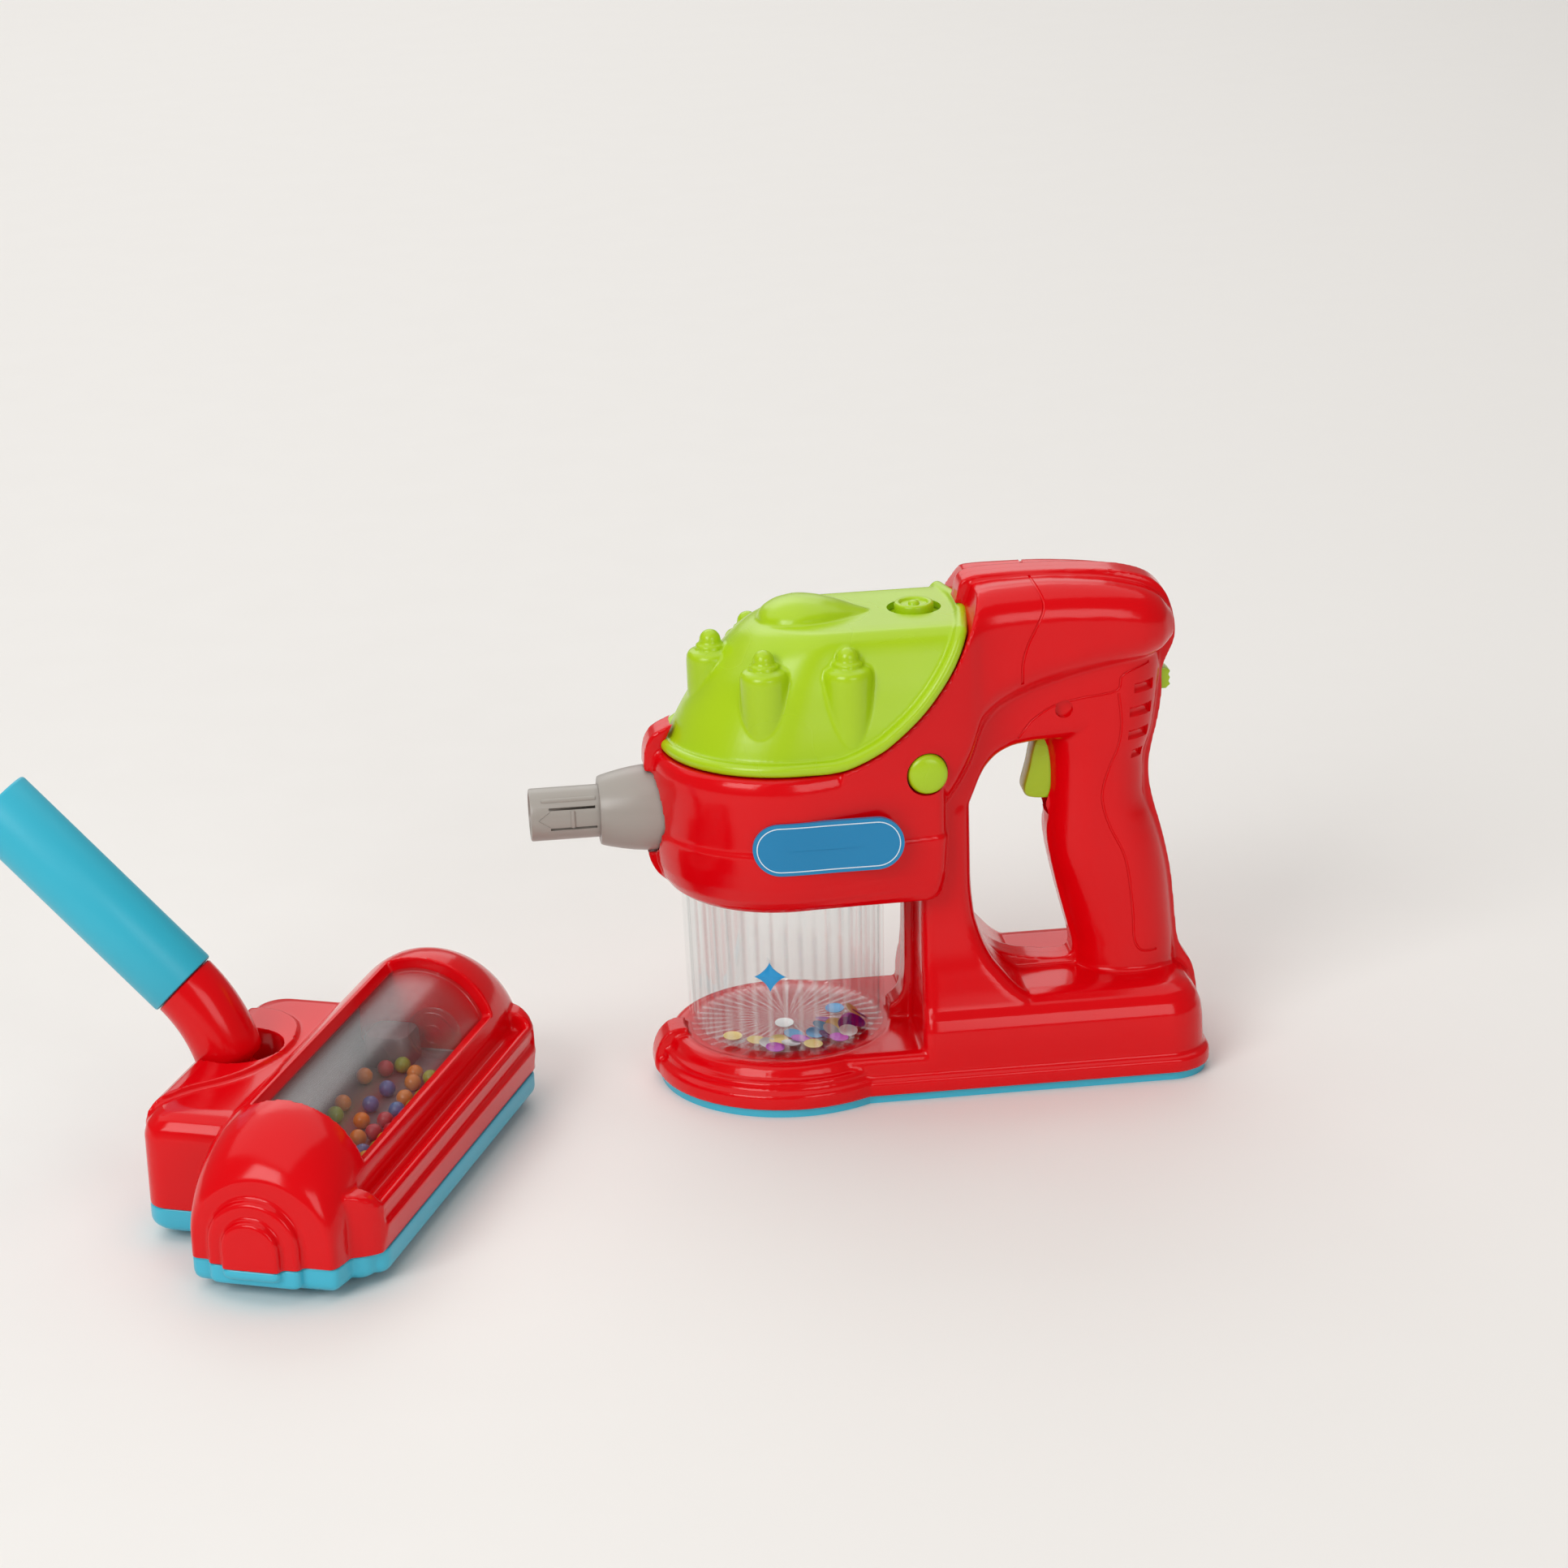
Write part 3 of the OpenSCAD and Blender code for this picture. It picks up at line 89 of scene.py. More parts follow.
# Handle block: place along X, bottom, top, half width, corner.
BLOCK_ROWS = [
    (-34, 106, 134, 44.3, 3), (-26, 106, 139, 42.9, 3), (-18, 106, 146, 41.6, 4), (-8, 106, 156, 39.4, 7),
    (3, 108, 168, 36.2, 11), (14, 121, 181, 32.2, 13), (20, 134, 184.6, 29, 13.5), (28, 141, 185.4, 27.2, 13.5),
    (42, 146.5, 185.6, 26, 13.5), (62, 151.5, 184.2, 25.2, 13), (78, 154, 181, 24, 12),
    (86, 156.5, 177, 20.6, 10), (91.2, 161, 170, 14, 4.4),
]
# Trigger guard under the block: place along X, bottom, top, half width, corner.
GUARD_ROWS = [
    (0, 92, 130, 31, 6), (8, 96, 135, 29, 6), (14, 106, 142, 26.5, 6), (20, 118, 148, 24, 6),
    (26, 123, 150, 21.6, 6), (33, 125.2, 155, 20, 6), (45, 126, 160, 19, 6), (58, 126, 160, 18.4, 7),
    (68, 126.4, 158, 16, 9), (74, 129, 154, 11, 9),
]
# Rear of the base: height, front, back, half width, front corner, back corner.
BLOCK_BASE_ROWS = [
    (3, -6.5, 101, 42.4, 4, 16), (8, -6.5, 101, 42.4, 4, 16), (8.8, -6.5, 100.2, 41.6, 4, 15.4),
    (9, -6.5, 99, 40.2, 4, 15), (20, -6.5, 98.8, 40, 4, 15), (25, -6.3, 98.2, 39.4, 4, 14.6),
    (29, -6, 96.8, 37.8, 4, 13.6), (32, -5.8, 94.6, 35.4, 4, 12), (34, -5.4, 91, 31.6, 4, 10),
    (34.8, -5, 86, 27, 4, 8),
]
LOW_BASE_ROWS = [
    (3, -52, 60, 42.4, 10, 10), (8, -52, 60, 42.4, 10, 10), (8.8, -52, 60, 41.6, 10, 10),
    (9, -52, 60, 40.2, 10, 10), (14, -52, 60, 40, 10, 10), (16, -52, 60, 39.6, 10, 10),
    (17.4, -52, 60, 38.4, 10, 10), (18, -52, 60, 36, 10, 10),
]
# Stepped rim of the round front of the base: radius and height.
DISC_ROWS = [
    (48.6, 3), (49.2, 3.6), (49.2, 7.8), (48.9, 8.8), (48, 9.3), (47, 9.5), (46.6, 10), (46.6, 11.8),
    (46.2, 12.8), (45.2, 13.2), (44.2, 13.4), (43.8, 14), (43.4, 15.4), (42.4, 17), (40.6, 18), (38.6, 18.3),
    (30, 18.3),
]
# Collar over the bin: height and how far it stands outside its plan.
COLLAR_ROWS = [
    (75, -15), (75.1, -11), (76, -8), (78.2, -5), (82, -2.5), (87, -0.8), (93, 0.1), (99.4, 0.5), (100.2, 0.35),
    (100.8, -0.25), (102, -0.3), (112, 0), (120, 0), (123.6, -0.4), (126.6, -1.4), (128.3, -2.8), (128.9, -4.6),
    (129, -12),
]
# Band along the seam and the opening inside it: X and Z.
BAND_OUTLINE = [
    (13.5, 176), (14.5, 184), (18, 186.8), (30, 187.4), (50, 187.2), (70, 185.8), (82, 183), (88, 179),
    (91.6, 173), (93.6, 164), (93.4, 158), (90.5, 152), (88.4, 147), (88.6, 138), (87, 128), (84.4, 118),
    (83, 109), (84.6, 98), (88.6, 84), (91.6, 69), (92.8, 54), (93.8, 41), (96.6, 35.5), (99.4, 31.5),
    (100.8, 25), (101.6, 14), (102, 8), (102, 3), (30, 3), (-9, 3), (-34, 3), (-34, 20.4), (-22, 20.6),
    (-16, 22.4), (-10.4, 26), (-8.6, 32), (-8, 60), (-8, 110), (-5, 145),
]
OPENING_OUTLINE = [
    (14.2, 75), (15.2, 64), (18, 54), (21, 47.4), (26, 42), (35, 38.6), (50, 37), (54.2, 38.4), (54.6, 43),
    (52, 53), (49, 65), (46, 79), (45, 88), (46.2, 94), (43.8, 97.6), (45, 100.6), (46.8, 104), (47, 112),
    (45.4, 124.6), (33, 124.4), (25, 121.6), (19, 114.6), (15.6, 107), (14, 97),
]
COLLAR_BAND = [
    (-88, 140), (-93, 137.6), (-97.6, 135.4), (-100.4, 131), (-101.4, 125), (-101.4, 92), (-100.2, 86),
    (-96.8, 80.6), (-90, 76.4), (-84, 76), (-84, 130),
]
BASE_BAND = [
    (-102, 3), (-102.2, 9), (-101.2, 13), (-99, 17.2), (-95.4, 20.2), (-91, 20.8), (-87, 20), (-84, 18), (-84, 3),
]
# Lime dome: height, middle of its round front and half width.
DOME_ROWS = [
    (120, -51.4, 43.4), (124, -51, 43), (131, -50, 42), (140, -48, 40), (150, -45, 37), (158, -42.4, 34.5),
    (165, -39.2, 31.6), (169, -37, 29.8), (172, -35, 28), (174, -33, 25.6), (174.8, -31, 23), (175, -29, 19),
]
# One flask in relief on the dome: radius and height.
FLASK_PROFILE = [
    (8.8, 137), (8.8, 161), (8.5, 162.8), (7.6, 164), (6.2, 164.5), (4.6, 164.6), (4.6, 165), (5.2, 165.2),
    (5.4, 165.8), (5.2, 166.4), (4, 166.6), (3.9, 167.4), (3.9, 168.2), (3.5, 169.6), (2.6, 170.8), (1.4, 171.5),
    (0.4, 171.7),
]
# Egg on top of the dome: place along X, half width and height.
EGG_ROWS = [
    (-58, 0.6, 0.3), (-57, 5, 2.4), (-54, 9.6, 5), (-49, 13, 7), (-43, 14.2, 7.8), (-37, 13.2, 7.2),
    (-30, 10.4, 5.4), (-24, 6.8, 3.2), (-19, 3.4, 1.4), (-16, 0.8, 0.3),
]
# Trigger seen from the side: X and Z.
TRIGGER_OUTLINE = [
    (42, 123.4), (46, 124.4), (50, 126), (50, 132), (58, 132), (58, 106), (54, 102.4), (50, 100.4), (45, 99.8),
    (39.6, 100.4), (37.4, 101.8), (37, 104.4), (38.2, 108.6), (39.4, 113), (40.4, 118.4),
]
# Round button on the dome: radius and height.
DOME_BUTTON_PROFILE = [
    (10.4, 170.9), (10.7, 171.2), (10.7, 172.2), (10.4, 172.5), (7.1, 172.5), (7.1, 176.2), (6.9, 176.8),
    (6.4, 177.1), (5.6, 177.1), (5.1, 176.8), (4.8, 176.2), (2.1, 176.1), (1.9, 176.8), (1.3, 177.3),
    (0.5, 177.5),
]
# Round button on the side: radius and how far it stands out.
SIDE_BUTTON_PROFILE = [
    (9.8, -1.5), (9.8, 0), (7.3, 0.1), (7.3, 5.2), (7.15, 6), (6.6, 6.7), (5.6, 7.15), (4, 7.5), (2, 7.7),
    (0.4, 7.75),
]
# Knob of the slide switch: X and Z.
SLIDE_OUTLINE = [
    (83, 133.6), (85, 133.6), (85, 138.5), (90.4, 138.5), (92, 140), (91.4, 141.2), (92, 142.5), (91.4, 143.7),
    (92, 145), (90.4, 146.5), (85, 146.5), (85, 151.4), (83, 151.4),
]
# Grey sleeve of the nozzle: radius and place along its axis.
SLEEVE_PROFILE = [
    (9.85, 88.5), (18.4, 88.5), (18.4, 91), (15.6, 91.1), (15.7, 98), (15.55, 102), (15.1, 106), (14.4, 110),
    (13.5, 114), (12.7, 117), (12.3, 117.8), (11.7, 118), (9.85, 118),
]
# Plug in the sleeve: radius and place along its axis.
PLUG_PROFILE = [
    (8, 85.6), (12.7, 85.6), (12.7, 88.4), (9.6, 88.5), (9.6, 142.2), (9.4, 142.8), (8.9, 143), (8.2, 143),
    (8, 142.6),
]
# Clear bin, outside and then inside: height, radius and depth of the flutes.
BIN_ROWS = [
    (18, 34.6, 0), (18.2, 35.3, 0), (18.9, 35.9, 0), (20, 36.05, 0), (50, 36.7, 0), (83.6, 37.35, 0),
    (84, 37.1, 0), (84, 36, 0.5), (83.6, 35.8, 0.7), (50, 35.1, 0.7), (22, 34.5, 0.7), (20.6, 34.2, 0.6),
    (20, 33.4, 0.2), (20, 30, 0),
]
# Ringed disc behind the window: radius and depth.
RING_DISC_PROFILE = [
    (0.4, 0), (3, 0), (3.1, -0.7), (3.7, -0.7), (3.8, 0), (7.6, 0), (7.7, -0.8), (8.5, -0.8), (8.6, 0), (10, 0.1),
    (10, 1.6), (0.4, 1.6),
]
# Channel under the beads: place across the head and height.
CHANNEL_OUTLINE = [
    (-24, 40), (-24, 27), (-22.4, 24.4), (-20, 23.8), (20, 23.8), (22.4, 24.4), (24, 26.6), (24, 33), (23.2, 33),
    (23.2, 27), (22, 25.4), (20, 25), (-20, 25), (-22, 25.4), (-23.2, 27), (-23.2, 40),
]
# Push tube, with its bore: radius and place along it.
TUBE_PROFILE = [
    (10.2, 0.3), (12.5, 0.3), (13, 0.6), (13.2, 1.2), (13.2, 90.2), (13, 90.9), (12.5, 91.3), (10.8, 91.3),
    (10.25, 90.7), (10.25, 31.3), (8.6, 31.2), (8.6, 21), (10.2, 20.9),
]
# Barrel of the head: place along it, half width and top.
BARREL_ROWS = [
    (0, 28.4, 60), (63, 28.4, 60), (70, 28.3, 59.2), (77, 28, 56.8), (83, 27.4, 53.2), (88, 26.5, 48.6),
    (90.8, 25.5, 45), (92, 24.2, 42.6),
]
# Skirt in front of the barrel: place along it and outline as U and Z, the same number of points in each.
TROUGH = [
    (0, 12), (36.6, 12), (37.8, 19.6), (38.2, 21.2), (37.8, 22.2), (36.6, 22.8), (36.4, 25), (37, 28.2),
    (36.6, 29.6), (35.4, 30.2), (34, 29.6), (32.6, 27.6), (28, 28), (0, 29),
]
EAR = [
    (0, 12), (36.6, 12), (37.8, 19), (38.2, 21), (38.2, 22.6), (37.8, 24.6), (37.4, 27), (36.6, 29.6),
    (35, 31.8), (33, 33.4), (30, 34.6), (27, 35), (20, 35.2), (0, 35.4),
]


def narrowed(outline, most):
    """An outline kept within a reach along U."""
    return [(min(u, most), z) for u, z in outline]


SKIRT_SECTIONS = [
    (0, TROUGH), (73.6, TROUGH), (74, narrowed(EAR, 37.6)), (76.4, narrowed(EAR, 36.4)),
    (78.4, narrowed(EAR, 34.4)), (80.4, narrowed(EAR, 31.4)), (82, narrowed(EAR, 28)), (83.2, narrowed(EAR, 24)),
]
# Saddle plate around the neck's hole, seen from above: U and V.
SADDLE_OUTLINE = [
    (-64, -54), (-53, -46), (-46, -36), (-38, -29), (-31, -18), (-26, 0), (-28, 13), (-32, 23), (-40, 30),
    (-50, 32), (-64, 31),
]
# Beads under the window, by colour: U, V and Z.
BEAD_PLACES = {
    "orange": [(-9, 28, 28), (-8, 4, 28), (4, -9, 28), (8, -23, 28), (8, 34, 28), (10, 26, 28), (12, 12.5, 28),
               (19, 26, 28)],
    "blue": [(3, 19, 28), (2, 5, 28), (13, 2, 28), (20, 35, 28), (18, -2, 28), (14, -34, 28)],
    "red": [(-4, 36, 28), (12, -7, 28), (11.6, -17.4, 28), (18, -9, 28), (17.4, -15.4, 28)],
    "yellow": [(18, -23, 28), (17, -39, 28), (-14, -20, 28)],
    "green": [(-13, 52, 28), (-7, 47, 28), (1, 40, 28), (15, 31, 28), (18, 14, 28), (18, 5, 28), (-7, -6, 28),
              (18, -30, 28)],
}
# Sequins in the bin, by colour: X and Y from the bin's axis, lift, lean and turn in degrees.
SEQUIN_PLACES = {
    "gold": [(-22, -16, 0, 4, 20), (-14, -22, 0.2, 6, 70), (-6, -24, 0.5, 8, 10), (6, -29.5, 0.2, 5, 40),
             (16, -14, 0.8, 18, 30), (24, -4, 1.6, 40, 80)],
    "magenta": [(-8, -30, 0.2, 7, 30), (2, -24, 0.3, 9, 100), (16, -25.5, 0.3, 6, 60), (13, -8, 0.5, 14, 140),
                (22, -12, 1.2, 24, 20)],
    "blue": [(0, -19, 0.3, 10, 50), (8, -20, 0.5, 12, 15), (11, -15, 0.9, 20, 75), (18, 2, 0.4, 8, 0)],
    "silver": [(-10, -26, 0.4, 12, 40), (-2, -28, 0.6, 8, 120), (20, -21, 0.8, 14, 10), (14, -20, 1.1, 30, 60),
               (-2, -8, 0.3, 6, 0)],
    "purple": [(20, -17, 1.4, 36, 30), (24, -14, 1.5, 30, 60), (12, -24, 0.9, 20, 90), (26, -9, 1.8, 42, 120)],
}
# Lines cut in the handle's sides, as X and Z, with the groove's radius as a share of the set one.
HANDLE_LINES = [
    ([(40, 186), (42, 182), (42, 178), (39, 172), (36, 166), (34, 159), (34, 151)], 1.2),
    ([(33, 129), (36, 133), (39, 136), (46, 140), (55, 142), (69, 144), (71, 149), (74, 151), (82, 153)], 1.0),
    ([(70, 143), (71, 132), (70, 123), (67, 115), (64.6, 107), (64.4, 100), (67, 91), (72, 80), (74, 68),
      (75, 56), (75.4, 47), (78, 42.6), (84, 42)], 1.0),
    ([(76.4, 144), (84.4, 144)], 4.6), ([(74.6, 135), (83.8, 135)], 4.6), ([(74.2, 126), (82.6, 126)], 4.6),
    ([(75.6, 118), (80.2, 118)], 3.8),
]
# Edge of the dome where it meets the housing, seen from the side: X and Z.
RIM_LINE = [
    (-130, 128.6), (-60, 128.6), (-44, 128.6), (-36, 129), (-30, 130.3), (-22, 133.6), (-15, 137.7),
    (-2.8, 147.8), (8, 161.2), (14.4, 173.6), (18, 182), (20.6, 192),
]


def linear(code):
    """sRGB hex colour to linear red, green and blue."""
    parts = [int(code[i:i + 2], 16) / 255 for i in (1, 3, 5)]
    return tuple(c / 12.92 if c <= 0.04045 else ((c + 0.055) / 1.055) ** 2.4 for c in parts)


def deselect():
    """Leaves edit mode and deselects everything."""
    if bpy.context.object and bpy.context.object.mode != "OBJECT":
        bpy.ops.object.mode_set(mode="OBJECT")
    bpy.ops.object.select_all(action="DESELECT")


def take(*objects):
    """Selects these objects alone, the first of them active."""
    deselect()
    for obj in objects:
        obj.select_set(True)
    bpy.context.view_layer.objects.active = objects[0]


def modify(obj, kind, **settings):
    """Adds a modifier to a piece, sets it and applies it."""
    take(obj)
    bpy.ops.object.modifier_add(type=kind)
    modifier = obj.modifiers[-1]
    for key, value in settings.items():
        setattr(modifier, key, value)
    bpy.ops.object.modifier_apply(modifier=modifier.name)


def through(rows, steps):
    """Rows run through by smooth curves that don't overshoot, with steps to each gap; the first column rises."""
    columns = list(zip(*rows))
    place = columns[0]
    gaps = [b - a for a, b in zip(place, place[1:])]
    slopes = []
    for column in columns:
        rise = [(b - a) / g for a, b, g in zip(column, column[1:], gaps)]
        slope = [rise[0]]
        for i in range(1, len(rise)):
            if rise[i - 1] * rise[i] <= 0:
                slope.append(0.0)
            else:
                left, right = 2 * gaps[i] + gaps[i - 1], gaps[i] + 2 * gaps[i - 1]
                slope.append((left + right) / (left / rise[i - 1] + right / rise[i]))
        slopes.append(slope + [rise[-1]])
    out = []
    for i, gap in enumerate(gaps):
        for step in range(steps):
            t = step / steps
            a, b = 2 * t ** 3 - 3 * t ** 2 + 1, t ** 3 - 2 * t ** 2 + t
            c, d = 3 * t ** 2 - 2 * t ** 3, t ** 3 - t ** 2
            out.append(tuple(a * col[i] + b * gap * m[i] + c * col[i + 1] + d * gap * m[i + 1]
                             for col, m in zip(columns, slopes)))
    return out + [tuple(rows[-1])]


def curve(points, steps):
    """Points run through by a smooth curve, given with steps to each gap."""
    points = [Vector(p) for p in points]
    last = len(points) - 1
    out = []
    for i in range(last):
        a, b, c, d = (points[min(max(i + k, 0), last)] for k in (-1, 0, 1, 2))
        for step in range(steps):
            t = step / steps
            out.append(0.5 * (2 * b + (c - a) * t + (2 * a - 5 * b + 4 * c - d) * t * t
                              + (3 * b - a - 3 * c + d) * t ** 3))
    return out + [points[-1]]


def softened(points, rounds):
    """A closed outline with its corners cut off, a few rounds of it."""
    points = [Vector(p) for p in points]
    for _ in range(rounds):
        points = [p for a, b in zip(points, points[1:] + points[:1]) for p in (a.lerp(b, 0.25), a.lerp(b, 0.75))]
    return points


def corner_ring(low_a, high_a, low_b, high_b, radii, count):
    """Points of a rectangle with rounded corners, as pairs; radii run round from the low, low corner."""
    quarter = count // 4
    corners = [(low_a, low_b, 180), (high_a, low_b, 270), (high_a, high_b, 0), (low_a, high_b, 90)]
    most = min(high_a - low_a, high_b - low_b) / 2
    out = []
    for (a, b, start), radius in zip(corners, radii):
        radius = min(radius, most)
        a += radius if a == low_a else -radius
        b += radius if b == low_b else -radius
        for i in range(quarter):
            angle = math.radians(start + 90 * i / (quarter - 1))
            out.append((a + radius * math.cos(angle), b + radius * math.sin(angle)))
    return out


def flat_ring(z, front, back, half, front_r, back_r, count=64):
    """A level section with rounded corners."""
    radii = (front_r, back_r, back_r, front_r)
    return [(x, y, z) for x, y in corner_ring(front, back, -half, half, radii, count)]


def upright_ring(x, low, high, half, low_r, high_r, count=64):
    """A section across X with rounded corners."""
    return [(x, y, z) for y, z in corner_ring(-half, half, low, high, (low_r, low_r, high_r, high_r), count)]


def round_ring(centre, radius, axis=(0, 0, 1), side=(1, 0, 0), count=64):
    """A circle about an axis."""
    axis, side = Vector(axis).normalized(), Vector(side).normalized()
    other = axis.cross(side)
    return [Vector(centre) + radius * (math.cos(a) * side + math.sin(a) * other)
            for a in (2 * math.pi * i / count for i in range(count))]


def loft(name, sections, closed=False):
    """A skin drawn as by hand: a circle laid on the first section is extruded to each next one."""
    deselect()
    count = len(sections[0])
    bpy.ops.mesh.primitive_circle_add(vertices=count, radius=1, location=(0, 0, 0))
    obj = bpy.context.object
    obj.name = obj.data.name = name
    bpy.ops.object.mode_set(mode="EDIT")
    mesh = bmesh.from_edit_mesh(obj.data)
    place = mesh.verts.layers.int.new("place")
    row = mesh.verts.layers.int.new("row")
    mesh.verts.ensure_lookup_table()
    for i, vert in enumerate(mesh.verts):
        vert[place] = i
        vert.co = Vector(sections[0][i]) * MM
    for step, section in enumerate(sections[1:], 1):
        bpy.ops.mesh.extrude_edges_move()
        mesh = bmesh.from_edit_mesh(obj.data)
        place = mesh.verts.layers.int["place"]
        row = mesh.verts.layers.int["row"]
        for vert in mesh.verts:
            if vert.select:
                vert[row] = step
                vert.co = Vector(section[vert[place]]) * MM
    last = len(sections) - 1
    ends = [(0, last)] if closed else [(0, 0), (last, last)]
    for pair in ends:
        bpy.ops.mesh.select_all(action="DESELECT")
        mesh = bmesh.from_edit_mesh(obj.data)
        row = mesh.verts.layers.int["row"]
        for edge in mesh.edges:
            rows = {vert[row] for vert in edge.verts}
            if len(rows) == 1 and rows <= set(pair):
                edge.select_set(True)
        mesh.select_flush(True)
        bmesh.update_edit_mesh(obj.data)
        if closed:
            bpy.ops.mesh.bridge_edge_loops()
        else:
            bpy.ops.mesh.edge_face_add()
    bpy.ops.mesh.select_all(action="SELECT")
    bpy.ops.mesh.normals_make_consistent(inside=False)
    bpy.ops.object.mode_set(mode="OBJECT")
    for layer in ("place", "row"):
        obj.data.attributes.remove(obj.data.attributes[layer])
    return obj


def plate(name, outline, low, high):
    """An outline in the mid plane, given as X and Z, drawn out across it from low to high."""
    return loft(name, [[(p[0], y, p[1]) for p in outline] for y in (low, high)])


def rod(name, start, end, radius, count=48):
    """A round blank from one point to another, for cutting or joining."""
    axis = Vector(end) - Vector(start)
    side = axis.orthogonal()
    return loft(name, [round_ring(p, radius, axis, side, count) for p in (start, end)])


def box(name, low, high):
    """A rectangular blank between two corners."""
    corners = ((low[0], low[1]), (high[0], low[1]), (high[0], high[1]), (low[0], high[1]))
    return loft(name, [[(x, y, z) for x, y in corners] for z in (low[2], high[2])])


def turned(name, profile, origin, axis=(0, 0, 1), side=(1, 0, 0), count=64, closed=False):
    """A piece turned about an axis from radii and places along it."""
    axis = Vector(axis).normalized()
    return loft(name, [round_ring(Vector(origin) + h * axis, r, axis, side, count) for r, h in profile], closed)


def swept(name, points, radius, count=14, closed=False):
    """A round strand along a line of points."""
    points = [Vector(p) for p in points]
    last = len(points) - 1
    side = None
    rings = []
    for i, p in enumerate(points):
        ahead = points[(i + 1) % len(points)] if closed else points[min(i + 1, last)]
        behind = points[i - 1] if closed else points[max(i - 1, 0)]
        along = (ahead - behind).normalized()
        side = along.orthogonal() if side is None else side - along * side.dot(along)
        reach = radius[i] if isinstance(radius, (list, tuple)) else radius
        rings.append(round_ring(p, reach, along, side, count))
    return loft(name, rings, closed)


def inset(outline, depth):
    """A closed outline moved inwards by a depth."""
    points = [Vector(p[:2]) for p in outline]
    turn = sum(a.x * b.y - b.x * a.y for a, b in zip(points, points[1:] + points[:1]))
    sign = 1 if turn > 0 else -1
    out = []
    for i, p in enumerate(points):
        along = points[(i + 1) % len(points)] - points[i - 1]
        across = Vector((-along.y, along.x)).normalized() if along.length else Vector((0, 0))
        out.append(p + sign * depth * across)
    return out


def pillow(name, outline, low, high, edge):
    """An outline in the mid plane drawn out across it, with rounded edges on both sides."""
    steps = [(low, edge), (low + 0.3 * edge, 0.3 * edge), (low + edge, 0),
             (high - edge, 0), (high - 0.3 * edge, 0.3 * edge), (high, edge)]
    return loft(name, [[(p[0], y, p[1]) for p in inset(outline, d)] for y, d in steps])


def to_head(obj):
    """Takes a piece drawn in the floor head's own frame to where the head stands."""
    take(obj)
    obj.rotation_euler = (0, 0, math.radians(HEAD_YAW))
    obj.location = (HEAD_X * MM, HEAD_Y * MM, 0)
    bpy.ops.object.transform_apply(location=True, rotation=True, scale=True)
    return obj


def joined(name, parts):
    """Several blanks as one object."""
    take(*parts)
    if len(parts) > 1:
        bpy.ops.object.join()
    obj = bpy.context.object
    obj.name = obj.data.name = name
    return obj


def copied(obj, name):
    """A second object with its own mesh."""
    take(obj)
    bpy.ops.object.duplicate()
    twin = bpy.context.object
    twin.name = twin.data.name = name
    return twin


def cut(obj, cutter, operation="DIFFERENCE", solver="MANIFOLD"):
    """Takes a blank away from a piece, or keeps only what they share."""
    modify(obj, "BOOLEAN", operation=operation, object=cutter, solver=solver)
    bpy.data.objects.remove(cutter, do_unlink=True)


def mould(obj, voxel, passes):
    """Runs overlapping blanks into one skin and rounds its edges as a mould does."""
    modify(obj, "REMESH", mode="VOXEL", voxel_size=voxel * MM, use_smooth_shade=True)
    if passes:
        modify(obj, "SMOOTH", factor=0.5, iterations=passes)


def finish(obj, angle, body, slot, material, *nodes):
    """Shades a finished piece, gives it its material and its body, and hides the nodes that it stands for."""
    take(obj)
    bpy.ops.object.shade_smooth_by_angle(angle=math.radians(angle))
    obj.data.materials.clear()
    obj.data.materials.append(MATERIALS[material])
    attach(obj, body)
    if nodes:
        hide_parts(*nodes)


def add_node(tree, kind, links=(), **settings):
    """Adds a shader node, sets its sockets or options, and links others into it."""
    item = tree.nodes.new(kind)
    for key, value in settings.items():
        if key in item.inputs:
            item.inputs[key].default_value = value
        else:
            setattr(item, key, value)
    for source, target in links:
        tree.links.new(source, item.inputs[target])
    return item


